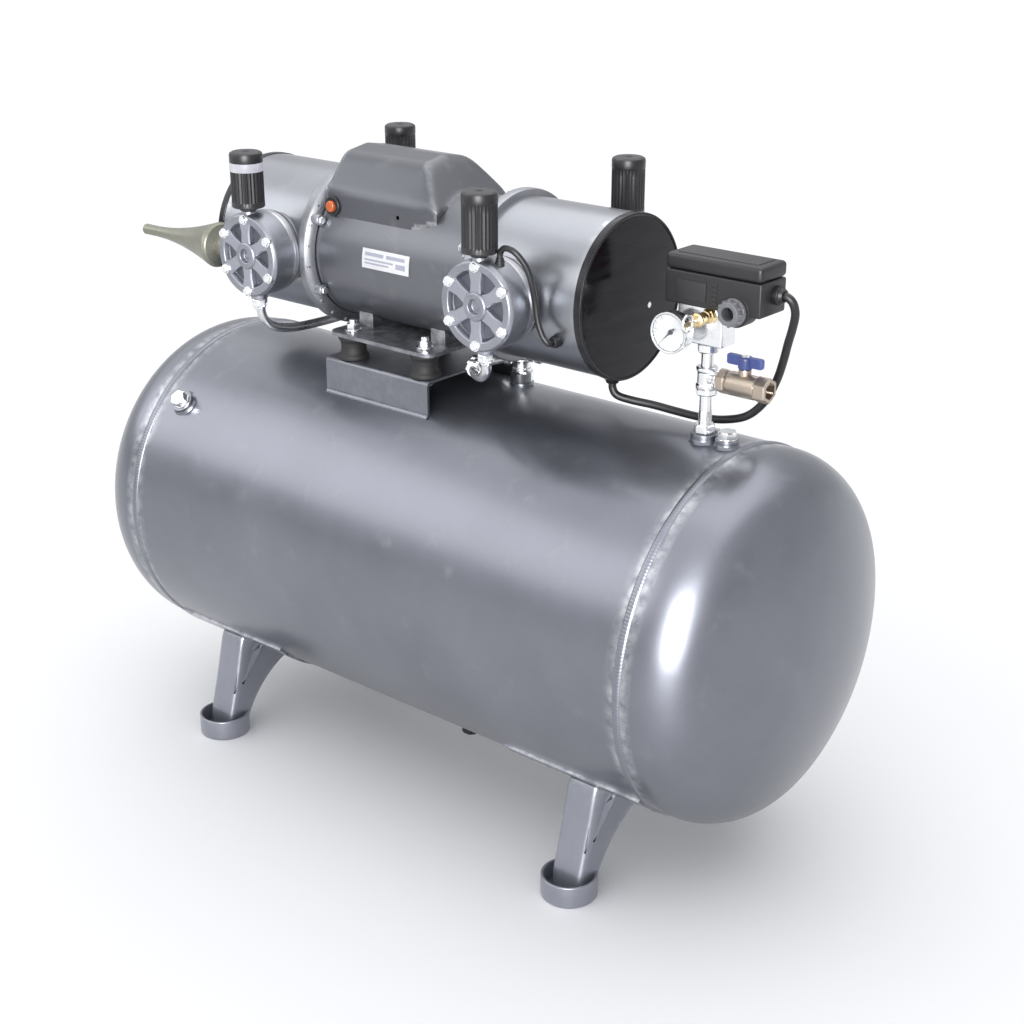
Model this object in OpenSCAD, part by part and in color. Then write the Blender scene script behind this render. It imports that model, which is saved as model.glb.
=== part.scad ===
// Oil-free piston air compressor: a double-ended motor drives two pairs of opposed cylinders
// on top of a horizontal receiver tank that stands on four pressed-steel legs.
// X runs along the tank, the front faces -Y and Z is up. The origin is on the floor, under the
// middle of the tank. The pump is the same at both ends, mirrored about the plane pump_mid_x.

/* [Tank] */
// Outside radius of the tank
tank_r = 190; // [189:0.5:191]
// Wall of the shell and of the dished ends
tank_wall = 3; // [2:0.5:4]
// Distance from the middle of the tank to each girth seam
seam_x = 345; // [343:0.5:348]
// Height of the tank axis above the floor
tank_z = 265; // [264:0.5:266]
// Straight flange on each dished end
end_flange = 15; // [10:1:18]
// Depth of the dish beyond its flange
dish_depth = 95; // [92:1:98]
// Knuckle radius of the dish
knuckle_r = 65; // [60:1:68]
// Width of the girth weld beads
bead_w = 9; // [6:1:11]
// Height of the girth weld beads
bead_h = 2; // [1:0.5:2.5]

/* [Legs] */
// Distance of the legs from the middle of the tank, along X
leg_x = 262; // [258:1:264]
// Distance of the foot centres from the tank's middle plane
foot_y = 148; // [146:1:150]
// Width of a leg
leg_w = 38; // [34:1:44]
// Sheet thickness of the legs
leg_t = 3; // [2.5:0.5:3.5]
// Outside radius of the cupped foot
foot_r = 29; // [27:1:31]
// Height of the rim of the foot
foot_rim = 24; // [14:1:26]
// Radius of the hole for the floor bolt
foot_hole_r = 5.5; // [4:0.5:6.5]

/* [Pump] */
// Height of the shaft axis above the floor
pump_z = 580; // [579.5:0.5:580.5]
// Plane about which the two ends of the pump mirror
pump_mid_x = -41.5; // [-42:0.5:-41]
// Outside radius of the motor shell
motor_r = 76; // [75:0.5:76.5]
// Half the length of the motor shell
motor_half = 107.5; // [106:0.5:107.5]
// Outside radius of the end shields
shield_r = 88; // [86:0.5:89]
// Outside radius of the crank housings
housing_r = 81; // [80:0.5:81.5]
// Length of each crank housing
housing_l = 125; // [124:0.5:127]
// Crank throw, half of the piston stroke
throw = 7; // [5:0.5:7]
// Bore radius of the cylinders
bore_r = 31.5; // [31:0.25:32]
// Outside radius of the cylinder heads
head_r = 45; // [44:0.5:46]
// Outside radius of the intake filters
filter_r = 17.5; // [16:0.5:18]
// Radius of the motor shaft
shaft_r = 9; // [8.5:0.25:9.5]

/* [Fittings] */
// Place of the riser along the tank
riser_x = 303; // [302:0.5:304]
// Radius of the pressure gauge
gauge_r = 20; // [18:0.5:21]
// Radius of the motor cable
cable_r = 4; // [3.5:0.25:4]
// Radius of the thread at the air outlet
outlet_r = 8.3; // [7:0.1:8.5]
// Bore radius of the open cable gland
gland_r = 6.5; // [5.5:0.5:7]

/* [Hidden] */
$fn = 96;

tank_top = tank_z + tank_r;
tank_inner = tank_r - tank_wall;
crown_r = (pow(dish_depth, 2) + pow(tank_r - knuckle_r, 2) - pow(knuckle_r, 2))
    / (2 * (dish_depth - knuckle_r));
crown_z = dish_depth - crown_r;
crown_half_angle = asin((tank_r - knuckle_r) / (crown_r - knuckle_r));
socket_r = 13;
socket_bore_r = 6.3;
socket_top = tank_top + 8;
spare_x = riser_x + 26;
side_plug_x = -307;
side_plug_angle = 44;
pad_t = 3;
pad_angle = 46;
pad_lo = 168;
pad_hi = 338;
drain_bore_r = 6;
drain_top = tank_z - tank_r - 8;

saddle_mid_x = -57;
saddle_l = 148;
saddle_half_w = 82;
saddle_top = 474;
saddle_t = 3;
mount_xs = [-104, 0];
mount_y = 66;
mount_r = 15;
stud_r = 4;
stud_hole_r = 4.25;
base_bottom = 500;
base_t = 4;
base_x0 = -125;
base_l = 147;
base_half_w = 84;
base_corner_r = 12;

// Lengths along the pump are measured from its mirror plane.
motor_inner = motor_r - 4;
shield_t = 14;
lug_r = 6;
lug_l = 8;
lug_angle = 28;
housing_x0 = motor_half + shield_t;
housing_x1 = housing_x0 + housing_l;
housing_wall = 5;
cover_t = 11;
cover_r = housing_r + 1;
cyl_x = 161.5;
barrel_r = 38;
barrel_y0 = 56;
barrel_y1 = 92;
plate_t = 4;
head_y0 = barrel_y1 + plate_t;
head_y1 = 124;
flange_r = 44;
bolt_circle_r = 38.5;
head_bolt_r = 2.5;
head_bolt_n = 6;
filter_boss_r = 7.5;
port_boss_r = 9;
side_boss_r = 8;
bearing_r = 17;
run_gap = 0.05;
rotor_r = 40;
stator_gap = 1;
core_half = 53.5;
winding_l = 24;
fan_x = 213.5;
fan_w = 18;
fan_r = 66;
fan_blades = 10;
eccentric_r = 18;
ring_r = 25;
rod_w = 8;
rod_gap = 1;
small_end_y = 54;
small_end_r = 9;
wrist_pin_r = 4;
crown_y = 84;
skirt_y = 60;
filter_y = 116;
port_y = 108;
filter_z0 = 631;
filter_h = 58;
hood_r = 62;
hood_z = 628;
hood_t = 3;
hood_x0 = -145;
hood_l = 155;
reset_x = -131;
reset_z = 633;
reset_r = 6;
reset_body_r = 9.5;
reset_rim_r = 10.5;
capacitor_r = 13;
capacitor_y = 20;
capacitor_z = 668;
capacitor_x0 = -115;
capacitor_l = 90;
plate_x0 = -77;
plate_l = 66;
plate_z0 = 579;
plate_h = 20;

manifold_z0 = 552;
manifold_z1 = 590;
manifold_x0 = 275;
manifold_l = 50;
manifold_half_w = 12;
gauge_x = 284;
gauge_z = 566;
gauge_back = -24;
gauge_front = -40;
dial_r = gauge_r - 1.5;
safety_x = 312;
safety_z = 582;
switch_x0 = 266;
switch_l = 105;
switch_half_w = 22;
switch_base_h = 32;
switch_h = 48;
switch_wall = 2.5;
switch_x1 = switch_x0 + switch_l;
gland_x = 344;
gland_z = 593;
side_gland_y = 5;
side_gland_z = 608;
lever_z = 611;
outlet_z = 518;
ball_x = 345;
ball_r = 8;
outlet_end = 373;
check_x = 50;
check_y = 30;
union_z = 488;
housing_gland_x = 192;
hose_r = 3;
drain_body_h = 26;
drain_body_z = drain_top - drain_body_h;
shaft_half = 237.5;

// Routes of the cable, the breather hose and the discharge pipes, as points on their middle lines.
cable_route = [
    [373, 5, 608], [381, 5, 608], [387, 7, 603], [388, 11, 592], [384, 15, 578], [377, 20, 560],
    [371, 24, 542], [363, 27, 520], [351, 28, 497], [333, 27, 479], [308, 26, 470], [282, 25, 467],
    [256, 22, 468], [232, 16, 471], [210, 7, 474], [197, 1, 478], [192, 0, 486], [192, 0, 497]
];
hose_route = [
    [138, -108, 627], [138, -108, 631], [144, -108, 637], [155, -106, 634], [164, -101, 621],
    [168, -97, 604], [169, -93, 586], [171, -92, 569], [176, -91, 555], [181, -89, 548], [181, -85, 547],
    [181, -79, 547]
];
pipe_front_right = [
    [120, -108, 531], [120, -108, 524], [118, -106, 512], [108, -100, 503], [92, -90, 499],
    [76, -76, 498], [64, -60, 497], [55, -38, 493], [50, -12, 489], [50, 4, 488], [50, 10, 488]
];
pipe_rear_right = [
    [120, 108, 531], [120, 108, 524], [119, 104, 508], [115, 90, 496], [108, 66, 489], [98, 44, 487],
    [86, 32, 488], [76, 30, 488], [70, 30, 488]
];
pipe_left = [
    [-203, -108, 531], [-203, -108, 524], [-203, -103, 507], [-203, -88, 495], [-203, -56, 488],
    [-203, 0, 486], [-203, 56, 488], [-203, 88, 495], [-203, 103, 507], [-203, 108, 524], [-203, 108, 531]
];
pipe_link = [
    [-155, 108, 580], [-148, 108, 580], [-132, 112, 576], [-110, 114, 572], [-42, 114, 570],
    [27, 114, 572], [49, 112, 576], [65, 108, 580], [72, 108, 580]
];

// ---- helpers ----

module along_x() rotate([0, 90, 0]) children();
module to_front() rotate([90, 0, 0]) children();
module to_rear() rotate([-90, 0, 0]) children();

module tube(r_out, r_in, len) {
    difference() {
        cylinder(r = r_out, h = len);
        translate([0, 0, -1]) cylinder(r = r_in, h = len + 2);
    }
}

module hexagon(r, h) cylinder(r = r, h = h, $fn = 6);

// side is 1 for the right end of the pump and -1 for the left end
module pump_side(side) {
    translate([pump_mid_x, 0, pump_z])
        if (side > 0) children();
        else mirror([1, 0, 0]) children();
}

module both_ends() {
    pump_side(1) children();
    pump_side(-1) children();
}

// The cylinder station of one end, with Z pointing outwards; front is 1 for -Y and -1 for +Y
module station(front) {
    translate([cyl_x, 0, 0]) rotate([front > 0 ? 90 : -90, 0, 0]) children();
}

module four_stations() {
    for (front = [1, -1]) both_ends() station(front) children();
}

module shell_cylinder(r) {
    translate([-seam_x - 60, 0, tank_z]) along_x() cylinder(r = r, h = 2 * seam_x + 120);
}

function unit(v) = v / norm(v);
function path_dir(p, i) =
    unit(p[min(i + 1, len(p) - 1)] - p[max(i - 1, 0)]);
function side_dir(d) = unit(cross(d, abs(d[1]) > 0.9 ? [1, 0, 0] : [0, 1, 0]));
// Point between points i and i+1 of a route: straight in its end segments, else Catmull-Rom
function blend(p, i, t) =
    i == 0 || i == len(p) - 2 ? p[i] + t * (p[i + 1] - p[i]) :
    let (a = p[i - 1], b = p[i], c = p[i + 1], d = p[i + 2])
    0.5 * (2 * b + (c - a) * t + (2 * a - 5 * b + 4 * c - d) * t * t
        + (3 * b - a - 3 * c + d) * t * t * t);
function smooth_route(p, steps) = concat(
    [for (i = [0 : len(p) - 2]) for (s = [0 : steps - 1]) blend(p, i, s / steps)],
    [p[len(p) - 1]]
);

// Round tube swept along a list of points
module swept_tube(route, r, sides) {
    n = len(route);
    rings = [for (i = [0 : n - 1])
        let (d = path_dir(route, i), u = side_dir(d), v = cross(d, u))
        for (k = [0 : sides - 1])
            route[i] + r * cos(360 * k / sides) * u + r * sin(360 * k / sides) * v];
    walls = [for (i = [0 : n - 2]) for (k = [0 : sides - 1]) let (j = (k + 1) % sides)
        [i * sides + k, i * sides + j, (i + 1) * sides + j, (i + 1) * sides + k]];
    first = [for (k = [0 : sides - 1]) sides - 1 - k];
    last = [for (k = [0 : sides - 1]) (n - 1) * sides + k];
    polyhedron(points = rings, faces = concat([first, last], walls), convexity = 6);
}

// ---- tank ----

module at_side_plug() translate([side_plug_x, 0, tank_z]) rotate([90 - side_plug_angle, 0, 0]) children();

module tank_shell() {
    color([0.60, 0.61, 0.64]) difference() {
        translate([-seam_x, 0, tank_z]) along_x() tube(tank_r, tank_inner, 2 * seam_x);
        for (x = [riser_x, spare_x]) translate([x, 0, tank_z]) cylinder(r = socket_bore_r, h = tank_r + 1);
        translate([0, 0, drain_top]) cylinder(r = drain_bore_r, h = 30);
        at_side_plug() cylinder(r = socket_bore_r, h = tank_r + 1);
        translate([check_x, check_y, tank_z]) cylinder(r = socket_bore_r, h = tank_r + 1);
    }
}

// Half profile of a dished end: flange, knuckle and crown, drawn smaller by inset
module dish_half(inset) {
    intersection() {
        union() {
            intersection() {
                translate([0, crown_z]) circle(r = crown_r - inset, $fn = 360);
                polygon([[0, crown_z], [0, crown_z + 2 * crown_r],
                    [2 * crown_r * tan(crown_half_angle), crown_z + 2 * crown_r]]);
            }
            translate([tank_r - knuckle_r, 0]) circle(r = knuckle_r - inset);
            translate([0, -end_flange]) square([tank_r - inset, end_flange]);
        }
        translate([0, -end_flange]) square([tank_r + 1, end_flange + dish_depth + 1]);
    }
}

module dished_end() {
    rotate_extrude($fn = 180) difference() {
        dish_half(0);
        dish_half(tank_wall);
    }
}

module tank_end_right() {
    color([0.60, 0.61, 0.64]) translate([seam_x + end_flange, 0, tank_z]) along_x() dished_end();
}

module tank_end_left() {
    color([0.60, 0.61, 0.64]) mirror([1, 0, 0]) tank_end_right();
}

module girth_bead() {
    bead_r = (pow(bead_w / 2, 2) + pow(bead_h, 2)) / (2 * bead_h);
    rotate_extrude($fn = 180) intersection() {
        translate([tank_r + bead_h - bead_r, 0]) circle(r = bead_r);
        translate([tank_r, -bead_w]) square([bead_h + 1, 2 * bead_w]);
    }
}

// Fillet weld along the foot of each saddle flange
module saddle_bead(front) {
    foot_z = tank_z + sqrt(pow(tank_r, 2) - pow(saddle_half_w, 2));
    difference() {
        translate([saddle_mid_x - saddle_l / 2, -front * saddle_half_w, foot_z]) along_x()
            cylinder(r = 4, h = saddle_l);
        translate([saddle_mid_x - saddle_l, -saddle_half_w, foot_z - 20])
            cube([2 * saddle_l, 2 * saddle_half_w, 40]);
        shell_cylinder(tank_r);
    }
}

module weld_seams() {
    color([0.64, 0.65, 0.68]) {
        for (s = [-1, 1]) translate([s * seam_x, 0, tank_z]) along_x() girth_bead();
        for (front = [-1, 1]) saddle_bead(front);
    }
}

module socket(r, bore, bottom, top) {
    difference() {
        translate([0, 0, bottom]) cylinder(r = r, h = top - bottom);
        translate([0, 0, bottom - 1]) cylinder(r = bore, h = top - bottom + 2);
    }
}

module pads_and_sockets() {
    color([0.58, 0.59, 0.62]) {
        difference() {
            union() {
                translate([riser_x, 0, 0]) socket(socket_r, socket_bore_r, tank_top - 4, socket_top);
                translate([spare_x, 0, 0])
                    socket(socket_r - 1.5, socket_bore_r, tank_top - 4, socket_top - 1);
                socket(socket_r, drain_bore_r, drain_top, tank_z - tank_r + 4);
                translate([check_x, check_y, 0])
                    socket(socket_r, socket_bore_r, tank_top - 20, tank_top + 1);
                at_side_plug() socket(socket_r, socket_bore_r, tank_r - 3, tank_r + 6);
            }
            shell_cylinder(tank_r);
        }
        for (s = [-1, 1]) leg_pad(s);
    }
}

// Curved plate that spreads the load of one pair of legs over the shell
module leg_pad(side) {
    pad_l = pad_hi - pad_lo;
    pad_half_w = (tank_r + pad_t) * sin(pad_angle);
    intersection() {
        translate([side > 0 ? pad_lo : -pad_hi, 0, tank_z]) along_x() tube(tank_r + pad_t, tank_r, pad_l);
        translate([side > 0 ? pad_lo - 1 : -pad_hi - 1, -pad_half_w, 0])
            cube([pad_l + 2, 2 * pad_half_w, tank_z]);
    }
}

module hex_plug(hex_r, hex_h, stub_l) {
    hexagon(hex_r, hex_h);
    translate([0, 0, -stub_l]) cylinder(r = socket_bore_r - 0.2, h = stub_l);
}

module socket_plugs() {
    color([0.86, 0.87, 0.89]) {
        translate([spare_x, 0, socket_top - 1]) hex_plug(9.8, 8, 12);
        at_side_plug() translate([0, 0, tank_r + 6]) hex_plug(10, 9, 14);
    }
}

// ---- legs ----

// Side view of one leg, with the distance from the tank's middle plane as x and height as y
module leg_side() {
    difference() {
        polygon([[32, 110], [126, 121], [150, 37], [foot_y + 7, foot_rim], [foot_y + 7, 0], [118, 0],
            [32, 40]]);
        translate([38, -22]) circle(r = 96);
    }
}

module leg_flange_side() {
    intersection() {
        leg_side();
        polygon([[126 - leg_t, 125], [130, 125], [154, 37], [foot_y + 8, foot_rim], [foot_y + 8, leg_t],
            [foot_y + 7 - leg_t, leg_t], [150 - leg_t, 37]]);
    }
}

module upright(width) rotate([90, 0, 90]) linear_extrude(width, center = true) children();

// A channel of two side webs and an outer flange that stands in a cupped foot
module leg() {
    color([0.58, 0.59, 0.62]) difference() {
        union() {
            difference() {
                translate([0, foot_y, 0]) cylinder(r = foot_r, h = foot_rim);
                translate([0, foot_y, leg_t]) cylinder(r = foot_r - leg_t, h = foot_rim);
            }
            upright(leg_w) leg_flange_side();
            for (s = [-1, 1]) translate([s * (leg_w - leg_t) / 2, 0, 0]) upright(leg_t) leg_side();
        }
        translate([-leg_x, 0, 0]) shell_cylinder(tank_r + pad_t);
        translate([0, foot_y, -1]) cylinder(r = foot_hole_r, h = foot_rim);
    }
}

module leg_rear_right() translate([leg_x, 0, 0]) leg();
module leg_rear_left() translate([-leg_x, 0, 0]) leg();
module leg_front_right() mirror([0, 1, 0]) leg_rear_right();
module leg_front_left() mirror([0, 1, 0]) leg_rear_left();

// ---- drain ----

module drain_valve_body() {
    color([0.78, 0.66, 0.42]) difference() {
        union() {
            translate([0, 0, drain_body_z]) cylinder(r = 8, h = drain_body_h);
            translate([0, 0, drain_top - 8]) hexagon(11, 8);
            translate([0, 0, drain_top]) cylinder(r = drain_bore_r - 0.2, h = 9);
            translate([0, 0, drain_body_z + 9]) to_front() cylinder(r = 4.5, h = 17);
        }
        translate([0, 0, drain_body_z - 1]) cylinder(r = 3, h = drain_body_h + 12);
        translate([0, 0, drain_body_z + 9]) to_front() cylinder(r = 2.5, h = 20);
    }
}

module drain_valve_knob() {
    color([0.20, 0.20, 0.21]) {
        translate([0, 0, drain_body_z - 13]) difference() {
            cylinder(r = 11, h = 12);
            for (k = [0 : 7]) rotate(45 * k) translate([12.5, 0, -1]) cylinder(r = 3, h = 14);
        }
        translate([0, 0, drain_body_z - 1]) cylinder(r = 3 - run_gap, h = 12);
    }
}

// ---- pump saddle and mounts ----

module saddle_block(half_w, top, len) {
    translate([saddle_mid_x - len / 2, -half_w, tank_top - 60])
        cube([len, 2 * half_w, top - tank_top + 60]);
}

module at_mounts() {
    for (x = mount_xs) for (y = [-mount_y, mount_y]) translate([x, y, 0]) children();
}

module pump_saddle() {
    color([0.58, 0.59, 0.62]) difference() {
        saddle_block(saddle_half_w, saddle_top, saddle_l);
        saddle_block(saddle_half_w - saddle_t, saddle_top - saddle_t, saddle_l + 2);
        shell_cylinder(tank_r);
        at_mounts() translate([0, 0, saddle_top - 10]) cylinder(r = stud_hole_r, h = 12);
    }
}

module rubber_mounts() {
    color([0.07, 0.07, 0.08]) at_mounts() translate([0, 0, saddle_top]) difference() {
        union() {
            cylinder(r = mount_r, h = base_bottom - saddle_top);
            cylinder(r = mount_r + 1.5, h = 4);
            translate([0, 0, base_bottom - saddle_top - 4]) cylinder(r = mount_r + 1.5, h = 4);
        }
        translate([0, 0, -1]) cylinder(r = stud_r, h = 40);
    }
}

module motor_base() {
    motor_axis_x = pump_mid_x - 300;
    color([0.50, 0.51, 0.54]) difference() {
        union() {
            translate([base_x0, -base_half_w, base_bottom]) {
                translate([base_corner_r, 0, 0])
                    cube([base_l - 2 * base_corner_r, 2 * base_half_w, base_t]);
                translate([0, base_corner_r, 0])
                    cube([base_l, 2 * (base_half_w - base_corner_r), base_t]);
                for (x = [base_corner_r, base_l - base_corner_r])
                    for (y = [base_corner_r, 2 * base_half_w - base_corner_r])
                        translate([x, y, 0]) cylinder(r = base_corner_r, h = base_t);
            }
            for (x = mount_xs) translate([x - 10, -46, base_bottom]) cube([20, 92, 24]);
        }
        translate([motor_axis_x, 0, pump_z]) along_x() cylinder(r = motor_r, h = 600);
        at_mounts() translate([0, 0, base_bottom - 1]) cylinder(r = stud_hole_r, h = 10);
    }
}

module mount_studs() {
    at_mounts() {
        translate([0, 0, saddle_top - saddle_t - 10]) cylinder(r = stud_r, h = 54);
        translate([0, 0, saddle_top - saddle_t - 2]) tube(9, stud_r, 2);
        translate([0, 0, saddle_top - saddle_t - 8]) difference() {
            hexagon(7.5, 6);
            translate([0, 0, -1]) cylinder(r = stud_r, h = 8);
        }
        translate([0, 0, base_bottom + base_t]) tube(9, stud_r, 2);
        translate([0, 0, base_bottom + base_t + 2]) difference() {
            hexagon(7.5, 6);
            translate([0, 0, -1]) cylinder(r = stud_r, h = 8);
        }
    }
}

// ---- motor ----

module pump_axis() translate([pump_mid_x, 0, pump_z]) along_x() children();

module motor_shell() {
    color([0.62, 0.63, 0.66]) pump_axis() translate([0, 0, -motor_half])
        tube(motor_r, motor_inner, 2 * motor_half);
}

module end_shield() {
    color([0.66, 0.67, 0.70]) translate([motor_half, 0, 0]) along_x() difference() {
        union() {
            cylinder(r = shield_r, h = shield_t);
            for (s = [90, 270]) for (a = [-lug_angle, lug_angle]) rotate(s + a)
                translate([motor_r + 4, 0, -lug_l]) cylinder(r = lug_r, h = lug_l);
        }
        translate([0, 0, -1]) cylinder(r = bearing_r, h = shield_t + 2);
        translate([0, 0, -40]) cylinder(r = motor_r, h = 40);
        for (k = [0 : 7]) rotate(45 * k + 22.5) translate([48, 0, -1]) cylinder(r = 9, h = shield_t + 2);
    }
}

module end_shield_right() pump_side(1) end_shield();
module end_shield_left() pump_side(-1) end_shield();

module stator_core() {
    color([0.45, 0.46, 0.48]) pump_axis() translate([0, 0, -core_half])
        tube(motor_inner, rotor_r + stator_gap, 2 * core_half);
}

module stator_windings() {
    color([0.72, 0.42, 0.22]) both_ends() translate([core_half, 0, 0]) along_x() tube(66, 47, winding_l);
}

module rotor_core() {
    color([0.55, 0.55, 0.57]) pump_axis() translate([0, 0, -core_half])
        tube(rotor_r, shaft_r, 2 * core_half);
}

module drive_shaft() {
    color([0.80, 0.80, 0.82]) pump_axis() translate([0, 0, -shaft_half])
        cylinder(r = shaft_r, h = 2 * shaft_half);
}

module shaft_bearings() {
    color([0.75, 0.75, 0.78]) both_ends() translate([motor_half + 1, 0, 0]) along_x()
        tube(bearing_r, shaft_r + run_gap, shield_t - 2);
}

module hood_outline(inset) {
    translate([0, hood_z - pump_z]) circle(r = hood_r - inset);
    translate([-hood_r + inset, 0]) square([2 * (hood_r - inset), hood_z - pump_z]);
}

module hood_solid(inset) {
    translate([hood_x0 + inset, 0, pump_z]) rotate([90, 0, 90]) linear_extrude(hood_l - 2 * inset)
        hood_outline(inset);
}

module motor_space() pump_axis() translate([0, 0, -300]) cylinder(r = motor_r, h = 600);

module capacitor_hood() {
    color([0.60, 0.61, 0.63]) difference() {
        hood_solid(0);
        hood_solid(hood_t);
        motor_space();
        at_reset() cylinder(r = reset_body_r, h = 90);
    }
}

module capacitors() {
    bracket_half_w = 9;
    color([0.30, 0.31, 0.33]) for (y = [-capacitor_y, capacitor_y]) {
        translate([capacitor_x0, y, capacitor_z]) along_x() cylinder(r = capacitor_r, h = capacitor_l);
        for (x = [capacitor_x0 + 15, capacitor_x0 + 65]) difference() {
            translate([x - 4, y - bracket_half_w, hood_z + 12])
                cube([8, 2 * bracket_half_w, capacitor_z - hood_z - 12]);
            motor_space();
            translate([x - 5, y, capacitor_z]) along_x() cylinder(r = capacitor_r, h = 10);
        }
    }
}

module at_reset() translate([reset_x, 0, reset_z]) to_front() children();

module reset_bezel() {
    color([0.08, 0.08, 0.09]) difference() {
        at_reset() {
            translate([0, 0, 58]) cylinder(r = reset_body_r, h = 7);
            translate([0, 0, hood_r]) cylinder(r = reset_rim_r, h = 3);
        }
        at_reset() translate([0, 0, 59.8]) cylinder(r = reset_r + 0.3, h = 12);
        motor_space();
    }
}

module reset_button() {
    color([0.90, 0.30, 0.10]) at_reset() translate([0, 0, 61.5]) cylinder(r = reset_r, h = 7.5);
}

module rating_plate() {
    color([0.95, 0.95, 0.96]) intersection() {
        pump_axis() translate([0, 0, -40]) tube(motor_r + 0.8, motor_r, 80);
        translate([plate_x0, -motor_r - 5, plate_z0]) cube([plate_l, 40, plate_h]);
    }
}

// ---- crank housings ----

module crank_housing() {
    color([0.70, 0.71, 0.74]) difference() {
        translate([housing_x0, 0, 0]) along_x() tube(housing_r, housing_r - housing_wall, housing_l);
        translate([cyl_x, -100, 0]) to_rear() cylinder(r = barrel_r, h = 200);
        for (k = [0 : 5]) rotate([24 * k - 150, 0, 0])
            translate([housing_x1 - 36, -3, housing_r - 10]) cube([26, 6, 14]);
    }
}

module crank_housing_right() pump_side(1) crank_housing();
module crank_housing_left() pump_side(-1) crank_housing();

// Shallow dome of pressed sheet with a flat rim
module end_cover() {
    dome_h = 3.5;
    dome_r = (pow(cover_r, 2) + pow(dome_h, 2)) / (2 * dome_h);
    color([0.06, 0.06, 0.07]) translate([housing_x1, 0, 0]) along_x() difference() {
        intersection() {
            cylinder(r = cover_r, h = cover_t);
            translate([0, 0, cover_t - dome_r]) sphere(r = dome_r, $fn = 360);
        }
        intersection() {
            translate([0, 0, -1]) cylinder(r = cover_r - 6, h = cover_t);
            translate([0, 0, cover_t - 3 - dome_r]) sphere(r = dome_r, $fn = 360);
        }
    }
}

module end_cover_right() pump_side(1) end_cover();
module end_cover_left() pump_side(-1) end_cover();

module fan() {
    difference() {
        union() {
            cylinder(r = shaft_r + 7, h = fan_w);
            cylinder(r = fan_r, h = 2);
            for (k = [0 : fan_blades - 1]) rotate(360 * k / fan_blades)
                translate([shaft_r + 4, -1, 0]) cube([fan_r - shaft_r - 6, 2, fan_w]);
        }
        translate([0, 0, -1]) cylinder(r = shaft_r, h = fan_w + 2);
    }
}

module cooling_fans() {
    color([0.16, 0.16, 0.17]) both_ends() translate([fan_x, 0, 0]) along_x() fan();
}

// Crank disc, off centre by the throw, with a balance weight on the other side
module eccentric(up) {
    weight_r = 40;
    difference() {
        union() {
            translate([cyl_x - 10, 0, up * throw]) along_x() cylinder(r = eccentric_r, h = 20);
            translate([cyl_x + 9.5, 0, 0]) intersection() {
                along_x() cylinder(r = weight_r, h = 9);
                translate([0, -weight_r, up > 0 ? -weight_r : -2]) cube([9, 2 * weight_r, weight_r + 2]);
            }
        }
        translate([cyl_x - 20, 0, 0]) along_x() cylinder(r = shaft_r, h = 50);
    }
}

module eccentrics() {
    color([0.50, 0.50, 0.52]) {
        pump_side(1) eccentric(1);
        pump_side(-1) eccentric(-1);
    }
}

// One rod: big-end ring round the crank disc, a bar, and a small end with its wrist pin
module rod(front, offset) {
    translate([cyl_x + offset - rod_w / 2, 0, 0]) {
        difference() {
            union() {
                along_x() cylinder(r = ring_r, h = rod_w);
                translate([0, front > 0 ? -small_end_y : 0, -6]) cube([rod_w, small_end_y, 12]);
                translate([0, -front * small_end_y, 0]) along_x() cylinder(r = small_end_r, h = rod_w);
            }
            translate([-1, 0, 0]) along_x() cylinder(r = eccentric_r + run_gap, h = rod_w + 2);
            translate([-1, -front * small_end_y, 0]) along_x() cylinder(r = wrist_pin_r, h = rod_w + 2);
        }
        translate([-6, -front * small_end_y, 0]) along_x() cylinder(r = wrist_pin_r, h = rod_w + 12);
    }
}

module rod_pair(up) {
    color([0.66, 0.66, 0.68]) translate([0, 0, up * throw]) {
        rod(1, -rod_gap - rod_w / 2);
        rod(-1, rod_gap + rod_w / 2);
    }
}

module connecting_rods_right() pump_side(1) rod_pair(1);
module connecting_rods_left() pump_side(-1) rod_pair(-1);

module piston() {
    piston_r = bore_r - 0.1;
    color([0.74, 0.74, 0.76]) difference() {
        translate([0, 0, skirt_y]) cylinder(r = piston_r, h = crown_y - skirt_y);
        translate([0, 0, skirt_y - 1]) cylinder(r = piston_r - 4.4, h = crown_y - skirt_y - 5);
        for (z = [70, 76]) translate([0, 0, z]) tube(piston_r + 1, piston_r - 1.5, 2);
    }
}

module pistons_right() pump_side(1) for (front = [1, -1]) station(front) piston();
module pistons_left() pump_side(-1) for (front = [1, -1]) station(front) piston();

// ---- cylinders ----

module at_head_bolts() {
    for (k = [0 : head_bolt_n - 1]) rotate(360 * k / head_bolt_n + 30)
        translate([bolt_circle_r, 0, 0]) children();
}

module barrel() {
    difference() {
        union() {
            translate([0, 0, barrel_y0]) cylinder(r = barrel_r, h = barrel_y1 - barrel_y0);
            translate([0, 0, barrel_y1 - 6]) cylinder(r = flange_r, h = 6);
            translate([0, 0, barrel_y1 - 10]) cylinder(r = flange_r - 2, h = 2);
        }
        translate([0, 0, barrel_y0 - 1]) cylinder(r = bore_r, h = 60);
        at_head_bolts() translate([0, 0, barrel_y1 - 7]) cylinder(r = head_bolt_r, h = 8);
    }
}

// The barrels, with their flanges cut back where they meet the end shield
module cylinder_barrels() {
    color([0.68, 0.69, 0.71]) both_ends() difference() {
        for (front = [1, -1]) station(front) barrel();
        translate([motor_half, 0, 0]) along_x() cylinder(r = shield_r, h = shield_t);
    }
}

module valve_plates() {
    color([0.36, 0.37, 0.39]) four_stations() translate([0, 0, barrel_y1]) difference() {
        cylinder(r = flange_r, h = plate_t);
        for (x = [-14, 14]) translate([x, 0, -1]) cylinder(r = 4, h = plate_t + 2);
        at_head_bolts() translate([0, 0, -1]) cylinder(r = head_bolt_r + 0.25, h = plate_t + 2);
    }
}

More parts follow.
